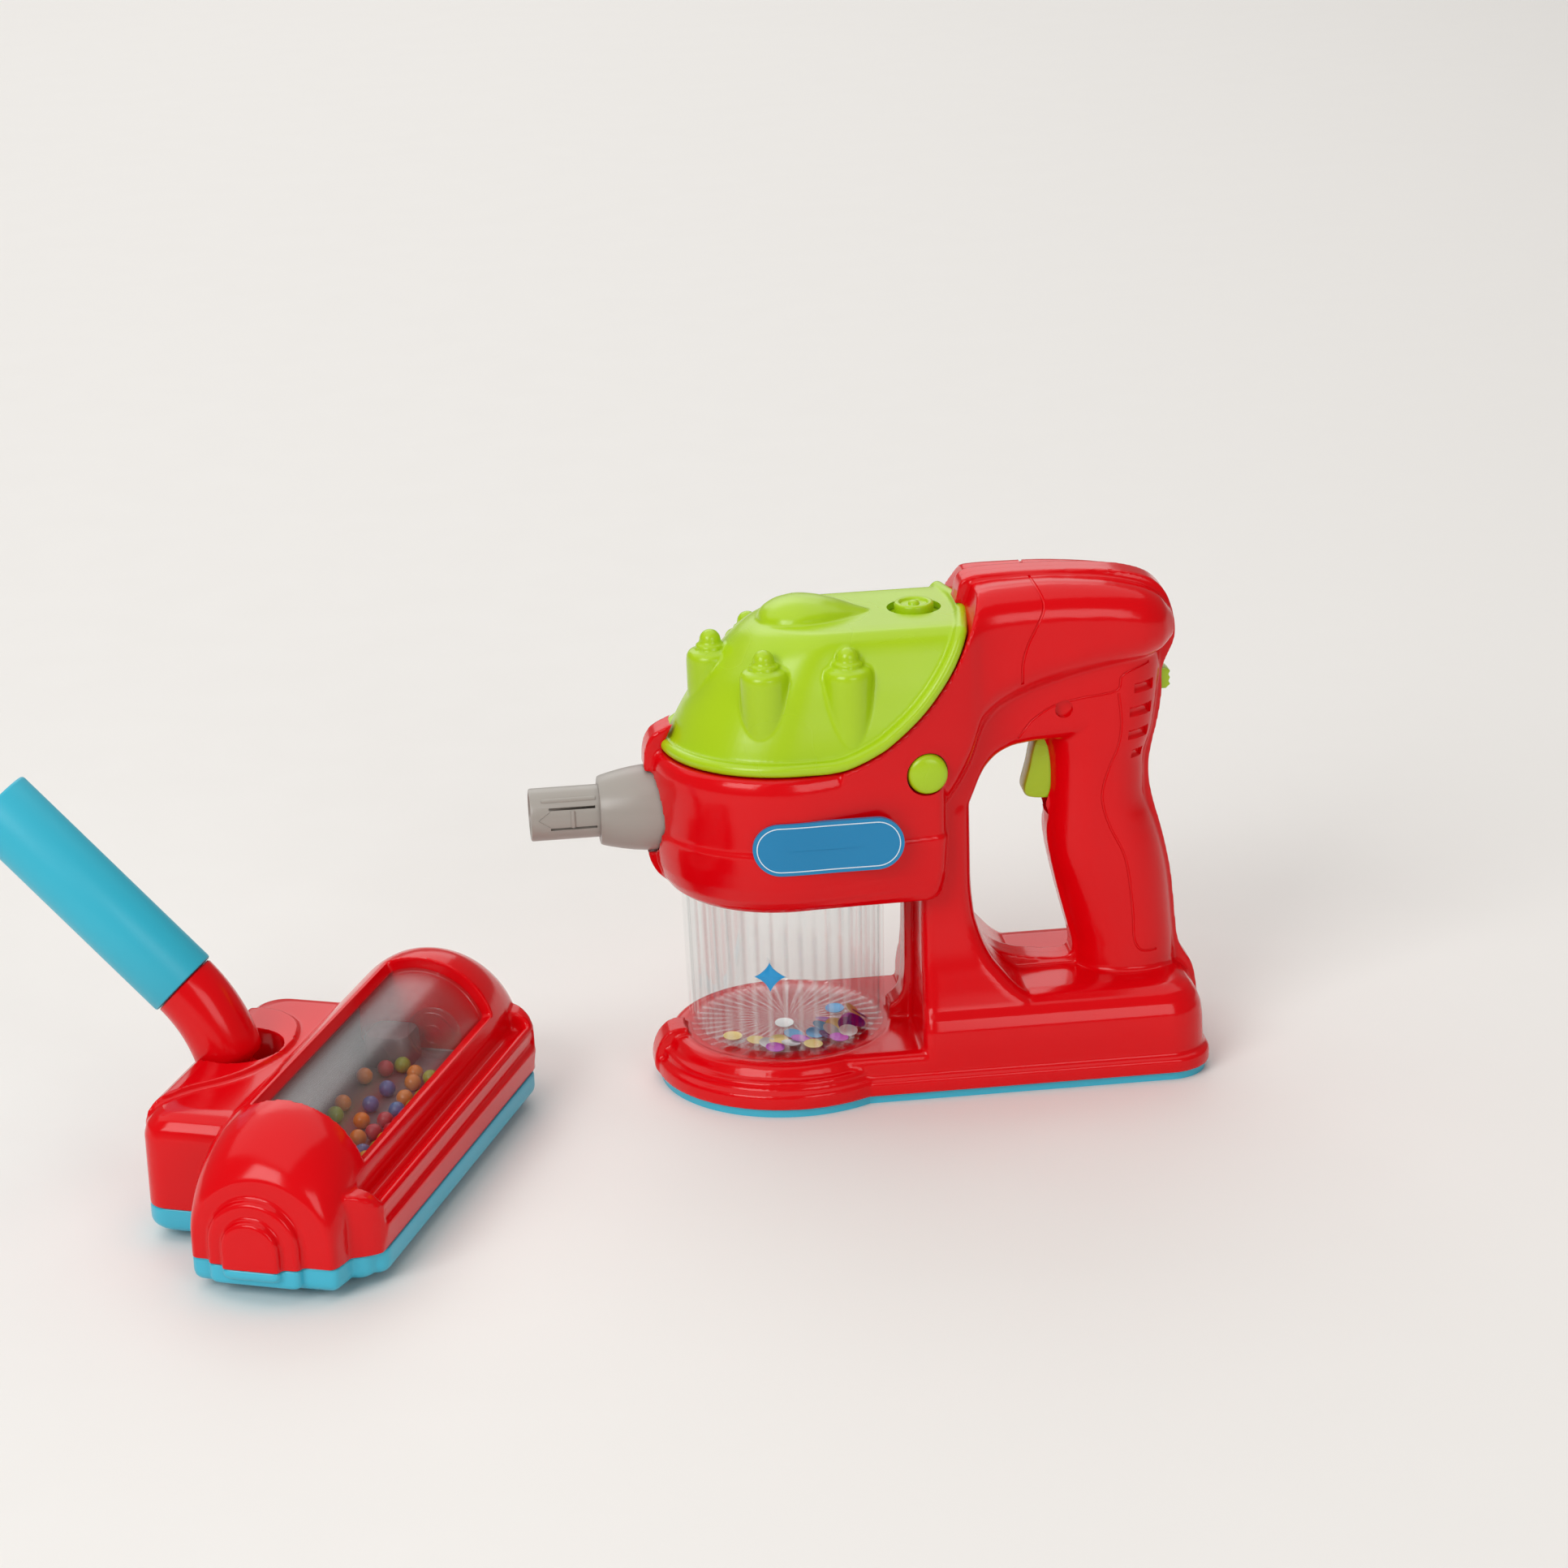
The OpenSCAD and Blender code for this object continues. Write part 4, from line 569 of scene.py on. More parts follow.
def moulded_plastic(name, code, roughness, shade=0.92, grain_mm=0.6, bump=0.03, metallic=0.0, veil=1.0, stripes=0,
                    shine=0.5):
    """A moulded plastic: a colour that drifts a little to its shade, and a skin with a faint orange peel."""
    material = bpy.data.materials.new(name)
    material.use_nodes = True
    tree = material.node_tree
    tree.nodes.clear()
    place = add_node(tree, "ShaderNodeTexCoord")
    drift = add_node(tree, "ShaderNodeTexNoise", [(place.outputs["Object"], "Vector")], Scale=28.0, Detail=2.0,
                     Roughness=0.45)
    colours = add_node(tree, "ShaderNodeMix", [(drift.outputs["Fac"], "Factor")], data_type="RGBA")
    for item in colours.inputs:
        if item.type == "RGBA":
            item.default_value = (*(code if item.name == "A" else [shade * c for c in code]), 1)
    peel = add_node(tree, "ShaderNodeTexNoise", [(place.outputs["Object"], "Vector")], Scale=1 / (grain_mm * MM),
                    Detail=2.0)
    polish = add_node(tree, "ShaderNodeMapRange", [(drift.outputs["Fac"], "Value")])
    polish.inputs["To Min"].default_value = roughness * 0.8
    polish.inputs["To Max"].default_value = roughness * 1.25
    skin = add_node(tree, "ShaderNodeBump", [(peel.outputs["Fac"], "Height")], Strength=bump, Distance=0.0004)
    colour_out = [out for out in colours.outputs if out.type == "RGBA"][0]
    surface = add_node(tree, "ShaderNodeBsdfPrincipled",
                       [(colour_out, "Base Color"), (polish.outputs["Result"], "Roughness"),
                        (skin.outputs["Normal"], "Normal")])
    surface.inputs["Metallic"].default_value = metallic
    surface.inputs["Specular IOR Level"].default_value = shine
    last = surface.outputs["BSDF"]
    if veil < 1:
        past = add_node(tree, "ShaderNodeBsdfTransparent", Color=(0.97, 0.975, 0.975, 1))
        mixed = add_node(tree, "ShaderNodeMixShader", Fac=veil)
        if stripes:
            about = add_node(tree, "ShaderNodeVectorMath", [(place.outputs["Object"], 0)], operation="ADD")
            about.inputs[1].default_value = (-BIN_X * MM, 0, 0)
            parts = add_node(tree, "ShaderNodeSeparateXYZ", [(about.outputs["Vector"], "Vector")])
            turn = add_node(tree, "ShaderNodeMath", [(parts.outputs["Y"], 0), (parts.outputs["X"], 1)],
                            operation="ARCTAN2")
            count = add_node(tree, "ShaderNodeMath", [(turn.outputs["Value"], 0)], operation="MULTIPLY")
            count.inputs[1].default_value = stripes
            wave = add_node(tree, "ShaderNodeMath", [(count.outputs["Value"], 0)], operation="SINE")
            amount = add_node(tree, "ShaderNodeMapRange", [(wave.outputs["Value"], "Value")])
            for key, value in (("From Min", 0.2), ("From Max", 1.0), ("To Min", 0.4 * veil),
                               ("To Max", 2.2 * veil)):
                amount.inputs[key].default_value = value
            tree.links.new(amount.outputs["Result"], mixed.inputs["Fac"])
        tree.links.new(past.outputs["BSDF"], mixed.inputs[1])
        tree.links.new(last, mixed.inputs[2])
        last = mixed.outputs["Shader"]
    add_node(tree, "ShaderNodeOutputMaterial", [(last, "Surface")])
    return material


MATERIALS = {}


def hue(name, use, code):
    """A colour that the user can change."""
    return FloatVectorProperty(name=name, description=use, default=linear(code), subtype="COLOR", size=3, min=0.0,
                               max=1.0)


def length(name, use, value):
    """A length that the user can change, given in millimetres."""
    return FloatProperty(name=name, description=use, default=value * MM, min=0.0, subtype="DISTANCE",
                         unit="LENGTH")


class VacuumColours(bpy.types.PropertyGroup):
    """Colours of the plastics and of the prints"""
    red: hue("Red", "Housing, head cover and neck", "#e2030e")
    lime: hue("Lime", "Dome, buttons and trigger", "#b0d412")
    blue: hue("Blue", "Base plate, tray and wheels", "#3fbcd8")
    tube: hue("Tube", "Push tube", "#30b9d4")
    grey: hue("Grey", "Nozzle", "#a69f97")
    label: hue("Label", "Label on the collar", "#0083b9")
    star: hue("Star", "Star on the bin", "#1f9ad8")
    floor: hue("Floor", "Paper that the toy stands on", "#f1eeea")


class VacuumSizes(bpy.types.PropertyGroup):
    """Sizes of the looks, laid over the solids"""
    bin_flutes: IntProperty(name="Bin flutes", description="Flutes inside the clear bin", default=40, min=8)
    housing_detail: length("Housing detail", "Grid of the housing's skin", 0.7)
    head_detail: length("Head detail", "Grid of the floor head's skin", 0.65)
    dome_detail: length("Dome detail", "Grid of the dome's skin", 0.6)
    rim_bead: length("Rim bead", "Radius of the bead around the dome", 2.4)
    groove: length("Groove", "Radius of the lines in the handle", 0.5)
    label_length: length("Label length", "Length of the label", 54.0)
    label_height: length("Label height", "Height of the label", 19.4)
    star_reach: length("Star reach", "From the middle of the star to a point", 5.8)
    sequin_radius: length("Sequin radius", "Radius of one sequin", 3.5)
    ball_radius: length("Ball radius", "Radius of one ball in the head", 3.0)


class VAC_OT_materials(bpy.types.Operator):
    """Mixes the plastics, metals and foils of the toy"""
    bl_idname = "vac.materials"
    bl_label = "Materials"

    def execute(self, context):
        colours = context.scene.vacuum_colours
        # Deep red with wide, soft reflections: the housing, the head and the neck.
        MATERIALS["red"] = moulded_plastic("glossy_red_abs", colours.red, 0.15, shine=0.28)
        # Bright yellow green, a little waxier than the red.
        MATERIALS["lime"] = moulded_plastic("lime_polypropylene", colours.lime, 0.26)
        # Sky blue with a satin skin.
        MATERIALS["blue"] = moulded_plastic("blue_polypropylene", colours.blue, 0.3)
        # The same blue, duller and with a coarser grain.
        MATERIALS["tube"] = moulded_plastic("blue_polyethylene_tube", colours.tube, 0.4, grain_mm=0.9, bump=0.05)
        # Warm mid grey.
        MATERIALS["grey"] = moulded_plastic("grey_abs", colours.grey, 0.3)
        # Seen through, with brighter stripes where the flutes gather light.
        MATERIALS["clear"] = moulded_plastic("clear_styrene", linear("#f6f8f8"), 0.06, bump=0.0, metallic=1.0,
                                             veil=0.08, stripes=context.scene.vacuum_sizes.bin_flutes)
        # Seen through, with a soft white sheen from the sky.
        MATERIALS["glass"] = moulded_plastic("clear_window_styrene", linear("#f6f8f8"), 0.28, bump=0.0,
                                             metallic=1.0, veil=0.1)
        # Near black, for hidden switches.
        MATERIALS["dark"] = moulded_plastic("dark_abs", linear("#2a2a2c"), 0.4)
        # Smoky brown behind the beads.
        MATERIALS["trough"] = moulded_plastic("smoked_trough_abs", linear("#86686a"), 0.35)
        # Bright metal of screws, pins and axles.
        MATERIALS["steel"] = moulded_plastic("zinc_plated_steel", linear("#b8b8ba"), 0.3, metallic=1.0)
        # Green lacquer of the sound board.
        MATERIALS["board"] = moulded_plastic("green_board", linear("#1a7340"), 0.4)
        # Thin pale line printed in the label.
        MATERIALS["white"] = moulded_plastic("white_print", linear("#dfeef6"), 0.3)
        # Shiny bright blue of the star.
        MATERIALS["star"] = moulded_plastic("blue_foil", colours.star, 0.3)
        # Even deep blue of the label.
        MATERIALS["sticker"] = moulded_plastic("blue_vinyl", colours.label, 0.25)
        # Opaque glossy beads.
        for name, code in (("orange", "#e18228"), ("blue", "#4b6ea5"), ("red", "#be2837"), ("yellow", "#e6a528"),
                           ("green", "#96a032")):
            MATERIALS["ball_" + name] = moulded_plastic("bead_" + name, linear(code), 0.3)
        # Foil that glitters a little.
        for name, code in (("gold", "#e1c36e"), ("magenta", "#be3cbe"), ("blue", "#5096c8"),
                           ("silver", "#dcdcdc"), ("purple", "#731482")):
            MATERIALS["sequin_" + name] = moulded_plastic("foil_" + name, linear(code), 0.22, metallic=0.4)
        return {"FINISHED"}


class VAC_OT_stage(bpy.types.Operator):
    """Sets the floor, the lights and the camera"""
    bl_idname = "vac.stage"
    bl_label = "Stage"

    def execute(self, context):
        context.scene.view_settings.view_transform = "Standard"
        deselect()
        bpy.ops.mesh.primitive_plane_add(size=12, location=(0, 0, 0))
        floor = bpy.context.object
        floor.name = "floor"
        # Warm white, without a sheen.
        floor.data.materials.append(moulded_plastic("pale_paper", context.scene.vacuum_colours.floor, 0.7,
                                                    shade=0.99, bump=0.0))
        world = bpy.data.worlds.new("studio")
        context.scene.world = world
        world.use_nodes = True
        back = world.node_tree.nodes["Background"]
        back.inputs["Color"].default_value = (*linear("#f5f2ee"), 1)
        back.inputs["Strength"].default_value = SKY_STRENGTH
        for name, place, aim, size, power in SOFTBOXES:
            bpy.ops.object.light_add(type="AREA", location=place)
            lamp = bpy.context.object
            lamp.name = name
            lamp.data.size = size
            lamp.data.energy = power
            lamp.rotation_euler = (Vector(aim) - Vector(place)).to_track_quat("-Z", "Y").to_euler()
        azimuth, pitch, roll = (math.radians(a) for a in CAMERA_TURN)
        away = Vector((math.sin(azimuth) * math.cos(pitch), -math.cos(azimuth) * math.cos(pitch),
                       math.sin(pitch)))
        right = Vector((0, 0, 1)).cross(away).normalized()
        up = away.cross(right)
        right, up = (math.cos(roll) * right - math.sin(roll) * up, math.sin(roll) * right + math.cos(roll) * up)
        bpy.ops.object.camera_add()
        camera = bpy.context.object
        camera.name = "camera"
        camera.data.lens = LENS
        camera.data.sensor_width = SENSOR
        camera.matrix_world = Matrix((right, up, away)).transposed().to_4x4()
        camera.location = Vector(CAMERA_PLACE) * MM
        context.scene.camera = camera
        return {"FINISHED"}


def collar_ring(z, out, count=96):
    """The collar's plan at one height: a round front, two rear corners and the lines that touch them."""
    rear = out if out > 0 else 0.35 * out
    front_r, corner_r = 47 + out, 5
    corner = Vector((-1 + rear, 34 + rear))
    along = corner - Vector((BIN_X, 0))
    lean = math.atan2(along.y, along.x) + math.acos((front_r - corner_r) / along.length)
    points = []
    for i in range(count * 2 // 3):
        angle = lean + (2 * math.pi - 2 * lean) * i / (count * 2 // 3 - 1)
        points.append((BIN_X + front_r * math.cos(angle), front_r * math.sin(angle), z))
    for side, low, high in ((-1, -lean, 0), (1, 0, lean)):
        for i in range(count // 6):
            angle = low + (high - low) * i / (count // 6 - 1)
            points.append((corner.x + corner_r * math.cos(angle), side * corner.y + corner_r * math.sin(angle),
                           z))
    return points


def collar_side(x, out):
    """How far the collar's side stands from the mid plane at one place along X."""
    ring = [(p[0], abs(p[1])) for p in collar_ring(0, out, 192)]
    ring = sorted(p for p in ring if p[0] <= -1)
    for a, b in zip(ring, ring[1:]):
        if a[0] <= x <= b[0] and b[0] > a[0]:
            return a[1] + (b[1] - a[1]) * (x - a[0]) / (b[0] - a[0])
    return ring[-1][1]


def dome_ring(z, middle, half, grow, count=96):
    """A level section of the dome: round in front and straight towards the handle."""
    radius = half + grow
    points = []
    side = count // 4
    for i in range(count - 2 * side):
        angle = math.radians(90 + 180 * i / (count - 2 * side - 1))
        points.append((middle + radius * math.cos(angle), radius * math.sin(angle), z))
    for i in range(side):
        points.append((middle + (46 - middle) * (i + 1) / side, -radius, z))
    for i in range(side):
        points.append((46 - (46 - middle) * i / side, radius, z))
    return points


def dome_blank(name, grow):
    """The dome's volume, grown all round."""
    rings = [dome_ring(z, middle, half, grow) for z, middle, half in through(DOME_ROWS, 3)]
    if grow > 0:
        rings.append([(x, y, z + grow) for x, y, z in rings[-1]])
    return loft(name, rings)


def rim_blank(name, drop):
    """Everything above the dome's edge, seen from the side, lowered by drop."""
    line = curve(RIM_LINE, 4)
    shift = []
    for i, p in enumerate(line):
        along = (line[min(i + 1, len(line) - 1)] - line[max(i - 1, 0)]).normalized()
        shift.append(p + drop * Vector((along.y, -along.x)))
    return plate(name, shift + [Vector((-130, 230))], -70, 70)


def engrave(obj, line, radius, side):
    """Cuts a groove where a line, given as X and Z, falls on a piece seen from one side."""
    bpy.context.view_layer.update()
    found = []
    for p in curve(line, 5):
        hit, place, _, _ = obj.ray_cast((p[0] * MM, 0.12 * side, p[1] * MM), (0, -side, 0))
        if hit:
            found.append(place / MM + Vector((0, side * max(radius - 1.1, 0), 0)))
    if len(found) > 3:
        cut(obj, swept("groove", found, radius, 10))


class VAC_OT_housing(bpy.types.Operator):
    """Moulds the two red halves of the hand unit"""
    bl_idname = "vac.housing"
    bl_label = "Housing"

    def execute(self, context):
        sizes = context.scene.vacuum_sizes
        parts = [
            loft("grip", [flat_ring(z, a, b, h, h - 0.5, h - 0.5) for z, a, b, h in through(GRIP_ROWS, 4)]),
            loft("column", [flat_ring(z, a, b, h, 4.5, 6) for z, a, b, h in through(COLUMN_ROWS, 4)]),
            loft("block", [upright_ring(x, a, b, h, r, r) for x, a, b, h, r in through(BLOCK_ROWS, 4)]),
            loft("guard", [upright_ring(x, a, b, h, r, r) for x, a, b, h, r in through(GUARD_ROWS, 3)]),
            loft("rear_base", [flat_ring(*r) for r in BLOCK_BASE_ROWS]),
            loft("low_base", [flat_ring(*r) for r in LOW_BASE_ROWS]),
            loft("disc", [round_ring((BIN_X, 0, z), r, count=96) for r, z in DISC_ROWS]),
            loft("collar", [collar_ring(z, d) for z, d in COLLAR_ROWS]),
            plate("collar_band", softened(COLLAR_BAND, 2), -6, 6),
            plate("base_band", softened(BASE_BAND, 2), -6, 6),
        ]
        cut(parts[2], rim_blank("block_rim", 0.4))
        band = plate("band", softened(BAND_OUTLINE, 2), -6, 6)
        cut(band, plate("opening", softened(OPENING_OUTLINE, 2), -20, 20), solver="EXACT")
        shell = joined("housing", parts + [band])
        mould(shell, sizes.housing_detail / MM, 0)
        dome = dome_blank("dome_room", 1.9)
        cut(dome, rim_blank("rim", 0.4), "INTERSECT")
        cut(shell, dome)
        cut(shell, rod("bin_room", (BIN_X, 0, 17.9), (BIN_X, 0, 84), 37.8, 96))
        cut(shell, rod("nozzle_room", (-130, 0, NOZZLE_Z), (-91, 0, NOZZLE_Z), 16.3, 64))
        cut(shell, box("under", (-150, -80, -20), (150, 80, 3)))
        mould(shell, sizes.housing_detail / MM, 3)
        for line, share in HANDLE_LINES:
            for side in (-1, 1):
                engrave(shell, line, share * sizes.groove / MM, side)
        cut(shell, rod("motor_room", (BIN_X, 0, 83), (BIN_X, 0, 126), 33, 64))
        cut(shell, box("trigger_room", (34, -5.9, 94), (66, 5.9, 137)))
        cut(shell, rod("button_room", (SIDE_BUTTON_X, -80, SIDE_BUTTON_Z), (SIDE_BUTTON_X, -27, SIDE_BUTTON_Z),
                       7.7, 64))
        cut(shell, rod("button_pocket", (SIDE_BUTTON_X, -33.1, SIDE_BUTTON_Z),
                       (SIDE_BUTTON_X, -26, SIDE_BUTTON_Z), 10.6, 64))
        cut(shell, box("slide_room", (81.4, -4.2, 132.8), (85.4, 4.2, 155.4)))
        cut(shell, box("slide_slot", (84, -4, 137.6), (97, 4, 150.4)))
        for side in (-1, 1):
            cut(shell, rod("screw_room", (50, side * 16.8, 138.5), (50, side * 40, 138.5), 3.3, 32))
        for name, side in (("near", -1), ("far", 1)):
            half = copied(shell, "housing_%s_skin" % name)
            cut(half, box("side", (-200, min(0.04 * side, 90 * side), -10),
                          (200, max(0.04 * side, 90 * side), 240)), "INTERSECT")
            modify(half, "DECIMATE", ratio=0.55)
            finish(half, 40, "hand_unit", "red_plastic", "red", "housing_" + name)
        bpy.data.objects.remove(shell, do_unlink=True)
        return {"FINISHED"}


def dome_half(z):
    """Middle of the round front and half width of the dome at one height."""
    rows = through(DOME_ROWS, 6)
    for a, b in zip(rows, rows[1:]):
        if a[0] <= z <= b[0]:
            t = (z - a[0]) / (b[0] - a[0])
            return a[1] + t * (b[1] - a[1]), a[2] + t * (b[2] - a[2])
    return rows[-1][1:]


def bead_line(lift):
    """The line that the dome's bead follows, lifted off the rim."""
    side = [(17.4 - lift, 0, 174.6), (17.2 - lift, -9, 174.6)]
    line = curve(RIM_LINE, 8)
    up = []
    for i, p in enumerate(line):
        along = (line[min(i + 1, len(line) - 1)] - line[max(i - 1, 0)]).normalized()
        q = p + lift * Vector((-along.y, along.x))
        if q.x > -42 and q.y < 174.6:
            up.append((q.x, -dome_half(q.y)[1] - 0.8, q.y))
    side += list(reversed(up))
    middle, half = dome_half(RIM_Z + lift)
    half += 0.8
    for i in range(25):
        angle = math.radians(270 - 90 * i / 24)
        side.append((middle + half * math.cos(angle), half * math.sin(angle), RIM_Z + lift))
    back = [(x, -y, z) for x, y, z in reversed(side[1:-1])]
    return side + back


class VAC_OT_dome(bpy.types.Operator):
    """Moulds the lime dome with its bead, flasks and egg"""
    bl_idname = "vac.dome"
    bl_label = "Dome"

    def execute(self, context):
        sizes = context.scene.vacuum_sizes
        bead = sizes.rim_bead / MM
        dome = dome_blank("dome", 0)
        cut(dome, rim_blank("dome_edge", -0.4), "INTERSECT")
        parts = [dome, swept("bead", bead_line(bead), bead, closed=True)]
        for x, y, z in ((-75, 0, 0), (-58.4, 28.2, -3), (-59, -28.8, 0), (-29.5, 32, -1), (-29.5, -32, 0)):
            parts.append(turned("flask", FLASK_PROFILE, (x, y, z), count=48))
        rings = []
        for x, half, high in through(EGG_ROWS, 4):
            ring = []
            for i in range(48):
                angle = 2 * math.pi * i / 48
                ring.append((x, half * math.cos(angle),
                             174.4 + (high if math.sin(angle) > 0 else 3) * math.sin(angle)))
            rings.append(ring)
        dome = joined("dome_skin", parts + [loft("egg", rings)])
        mould(dome, sizes.dome_detail / MM, 3)
        room = dome_blank("dome_inside", -2.4)
        cut(room, rim_blank("dome_inside_edge", -3), "INTERSECT")
        room.data.transform(Matrix.Translation((0, 0, -2.4 * MM)))
        cut(dome, room)
        cut(dome, box("dome_mouth", (-140, -80, 100), (-30, 80, 128.8)))
        cut(dome, rod("button_hole", (DOME_BUTTON_X, 0, 165), (DOME_BUTTON_X, 0, 190), 9.8, 64))
        finish(dome, 40, "hand_unit", "lime_plastic", "lime", "dome_cover")
        return {"FINISHED"}


class VAC_OT_controls(bpy.types.Operator):
    """Makes the two round buttons, the slide switch and the trigger"""
    bl_idname = "vac.controls"
    bl_label = "Controls"

    def execute(self, context):
        button = turned("dome_button_cap", DOME_BUTTON_PROFILE, (DOME_BUTTON_X, 0, 0))
        finish(button, 50, "dome_button", "lime_plastic", "lime", "dome_button")
        place = (SIDE_BUTTON_X, -32.8, SIDE_BUTTON_Z)
        button = turned("side_button_cap", SIDE_BUTTON_PROFILE, place, axis=(0, -1, 0))
        finish(button, 50, "side_button", "lime_plastic", "lime", "side_button")
        knob = pillow("slide_switch_knob", SLIDE_OUTLINE, -3.5, 3.5, 0.5)
        finish(knob, 30, "slide_switch", "lime_plastic", "lime", "slide_switch")
        lever = pillow("trigger_lever", softened(TRIGGER_OUTLINE, 2), -5.5, 5.5, 1.6)
        cut(lever, rod("pin_room", (54, -10, 128), (54, 10, 128), 2.05, 32))
        finish(lever, 40, "trigger", "lime_plastic", "lime", "trigger")
        return {"FINISHED"}


class VAC_OT_nozzle(bpy.types.Operator):
    """Turns the grey sleeve and the slotted plug"""
    bl_idname = "vac.nozzle"
    bl_label = "Nozzle"

    def execute(self, context):
        axis, up, eye = (-1, 0, 0), (0, 0, 1), (0, 0, NOZZLE_Z)
        sleeve = turned("nozzle_sleeve_cone", SLEEVE_PROFILE, eye, axis, up, 96, closed=True)
        finish(sleeve, 40, "hand_unit", "grey_plastic", "grey", "nozzle_sleeve")
        plug = turned("nozzle_plug_body", PLUG_PROFILE, eye, axis, up, 96, closed=True)
        for angle, start, end in ((28, 136.4, 119.6), (-18, 136, 119.2)):
            cut(plug, swept("slot", [self.on_plug(x, angle, 8.8) for x in (start, end)], 0.95, 12))
        rib = [self.on_plug(x, 48, 9.35) for x in (139.2, 138.9, 138, 119.5)]
        tab = [self.on_plug(127.8, angle, 9.5) for angle in range(-14, 25, 4)]
        tongue = ((136, 22), (138.5, 12), (140.2, 5), (138.5, -2), (136, -12))
        cut(plug, swept("tongue_line", [self.on_plug(x, angle, 9.62) for x, angle in tongue], 0.22, 8))
        raised = [plug, swept("rib", rib, [0.3, 0.75, 0.9, 0.9], 12), swept("tab", tab, 0.9, 10)]
        plug = joined("nozzle_plug_body", raised)
        finish(plug, 40, "hand_unit", "grey_plastic", "grey", "nozzle_plug")
        return {"FINISHED"}

    @staticmethod
    def on_plug(x, angle, radius):
        """A point about the nozzle's axis: place along it, degrees above level on the near side, radius."""
        turn = math.radians(angle)
        return Vector((-x, -radius * math.cos(turn), NOZZLE_Z + radius * math.sin(turn)))


class VAC_OT_bin(bpy.types.Operator):
    """Moulds the clear fluted bin and the foil sequins in it"""
    bl_idname = "vac.bin"
    bl_label = "Dust bin"

    def execute(self, context):
        sizes = context.scene.vacuum_sizes
        count, flutes, edge = 320, sizes.bin_flutes, sizes.sequin_radius / MM

        def ring(z, radius, depth):
            points = []
            for i in range(count):
                angle = 2 * math.pi * i / count
                reach = radius - depth * abs(math.sin(flutes * angle / 2))
                points.append((BIN_X + reach * math.cos(angle), reach * math.sin(angle), z))
            return points

        cup = loft("dust_bin_cup", [ring(*r) for r in BIN_ROWS])
        finish(cup, 30, "hand_unit", "clear_plastic", "clear", "dust_bin")
        profile = [(0.3, 0), (2, 0.02), (edge, 0.16), (edge, 0.3), (2, 0.16), (0.3, 0.14)]
        for name, places in SEQUIN_PLACES.items():
            discs = []
            for x, y, lift, lean, turn in places:
                disc = turned("sequin", profile, (0, 0, 0), count=24)
                disc.rotation_euler = (math.radians(lean), 0, math.radians(turn))
                disc.location = Vector((BIN_X + x, y, 20.25 + lift)) * MM
                take(disc)
                bpy.ops.object.transform_apply(location=True, rotation=True, scale=True)
                discs.append(disc)
            piece = joined("sequin_foil_" + name, discs)
            finish(piece, 40, "hand_unit", "sequin_" + name, "sequin_" + name, "sequins_" + name)
        return {"FINISHED"}


class VAC_OT_stickers(bpy.types.Operator):
    """Lays the plain label on the collar and the star on the bin"""
    bl_idname = "vac.stickers"
    bl_label = "Stickers"

    def execute(self, context):
        def seat(x, z, lift):
            near = [collar_side(x + k, 0.55) for k in range(-8, 9, 2)]
            return (x, -(sum(near) / len(near) + 0.45 + lift), z)

        def pill(length, height):
            half = height / 2
            reach = length / 2 - half
            points = [(reach + half * math.cos(a), half * math.sin(a))
                      for a in (math.radians(-90 + 7.5 * i) for i in range(25))]
            points += [(reach - reach * i / 8, half) for i in range(1, 16)]
            points += [(-x, -z) for x, z in points]
            return [(-40 + x, 103 + z) for x, z in points]

        def lay(name, sizes_lifts, closed=False):
            return loft(name, [[seat(x, z, lift) for x, z in pill(*size)] for size, lift in sizes_lifts], closed)

        sizes = context.scene.vacuum_sizes
        wide, high = sizes.label_length / MM, sizes.label_height / MM
        shrink = [(wide - k, high - k) for k in range(0, int(high), 2)]
        label = lay("label_field", [(shrink[0], -1.6), (shrink[0], 0.22)] + [(size, 0.3) for size in shrink[1:]])
        finish(label, 30, "hand_unit", "sticker_blue", "sticker", "label_sticker")
        line = lay("label_line", [((wide - a, high - a), lift)
                                  for a, lift in ((2.6, 0.25), (2.6, 0.4), (3.3, 0.4), (3.3, 0.25))], True)
        finish(line, 30, "hand_unit", "sticker_blue", "white")
        turn, reach = math.radians(270 - 15), sizes.star_reach / MM
        rings = []
        for share, lift in ((1, -0.05), (1, 0.25), (0.7, 0.5), (0.35, 0.55), (0.04, 0.5)):
            ring = []
            for i in range(48):
                angle = 2 * math.pi * i / 48
                along = share * reach * math.copysign(abs(math.cos(angle)) ** 2.7, math.cos(angle))
                high = 50.4 + share * reach * math.copysign(abs(math.sin(angle)) ** 2.7, math.sin(angle))
                radius = 36.62 + lift + 0.25 * math.sin(along * 1.1 + 0.6)
                spot = turn + along / radius
                ring.append((BIN_X + radius * math.cos(spot), radius * math.sin(spot), high))
            rings.append(ring)
        star = loft("star_foil", rings)
        finish(star, 30, "hand_unit", "sticker_blue", "star", "star_sticker")
        return {"FINISHED"}


def arch_ring(v, half, top, shift=0.0, low=12, count=64):
    """An upright arch across the barrel: straight sides and a round top."""
    points = [(shift + half, v, low)]
    for i in range(count - 2):
        angle = math.pi * i / (count - 3)
        points.append((shift + half * math.cos(angle), v, top - half + half * math.sin(angle)))
    return points + [(shift - half, v, low)]


def stepped(name, half, top, reach, shift):
    """One arch-shaped step on the ends of the barrel, drawn right through it."""
    end = [(-reach, half - 1.4), (-reach + 0.4, half - 0.5), (-reach + 1.4, half)]
    rows = end + [(-v, h) for v, h in reversed(end)]
    return loft(name, [arch_ring(v, h, top - (half - h), shift) for v, h in rows])


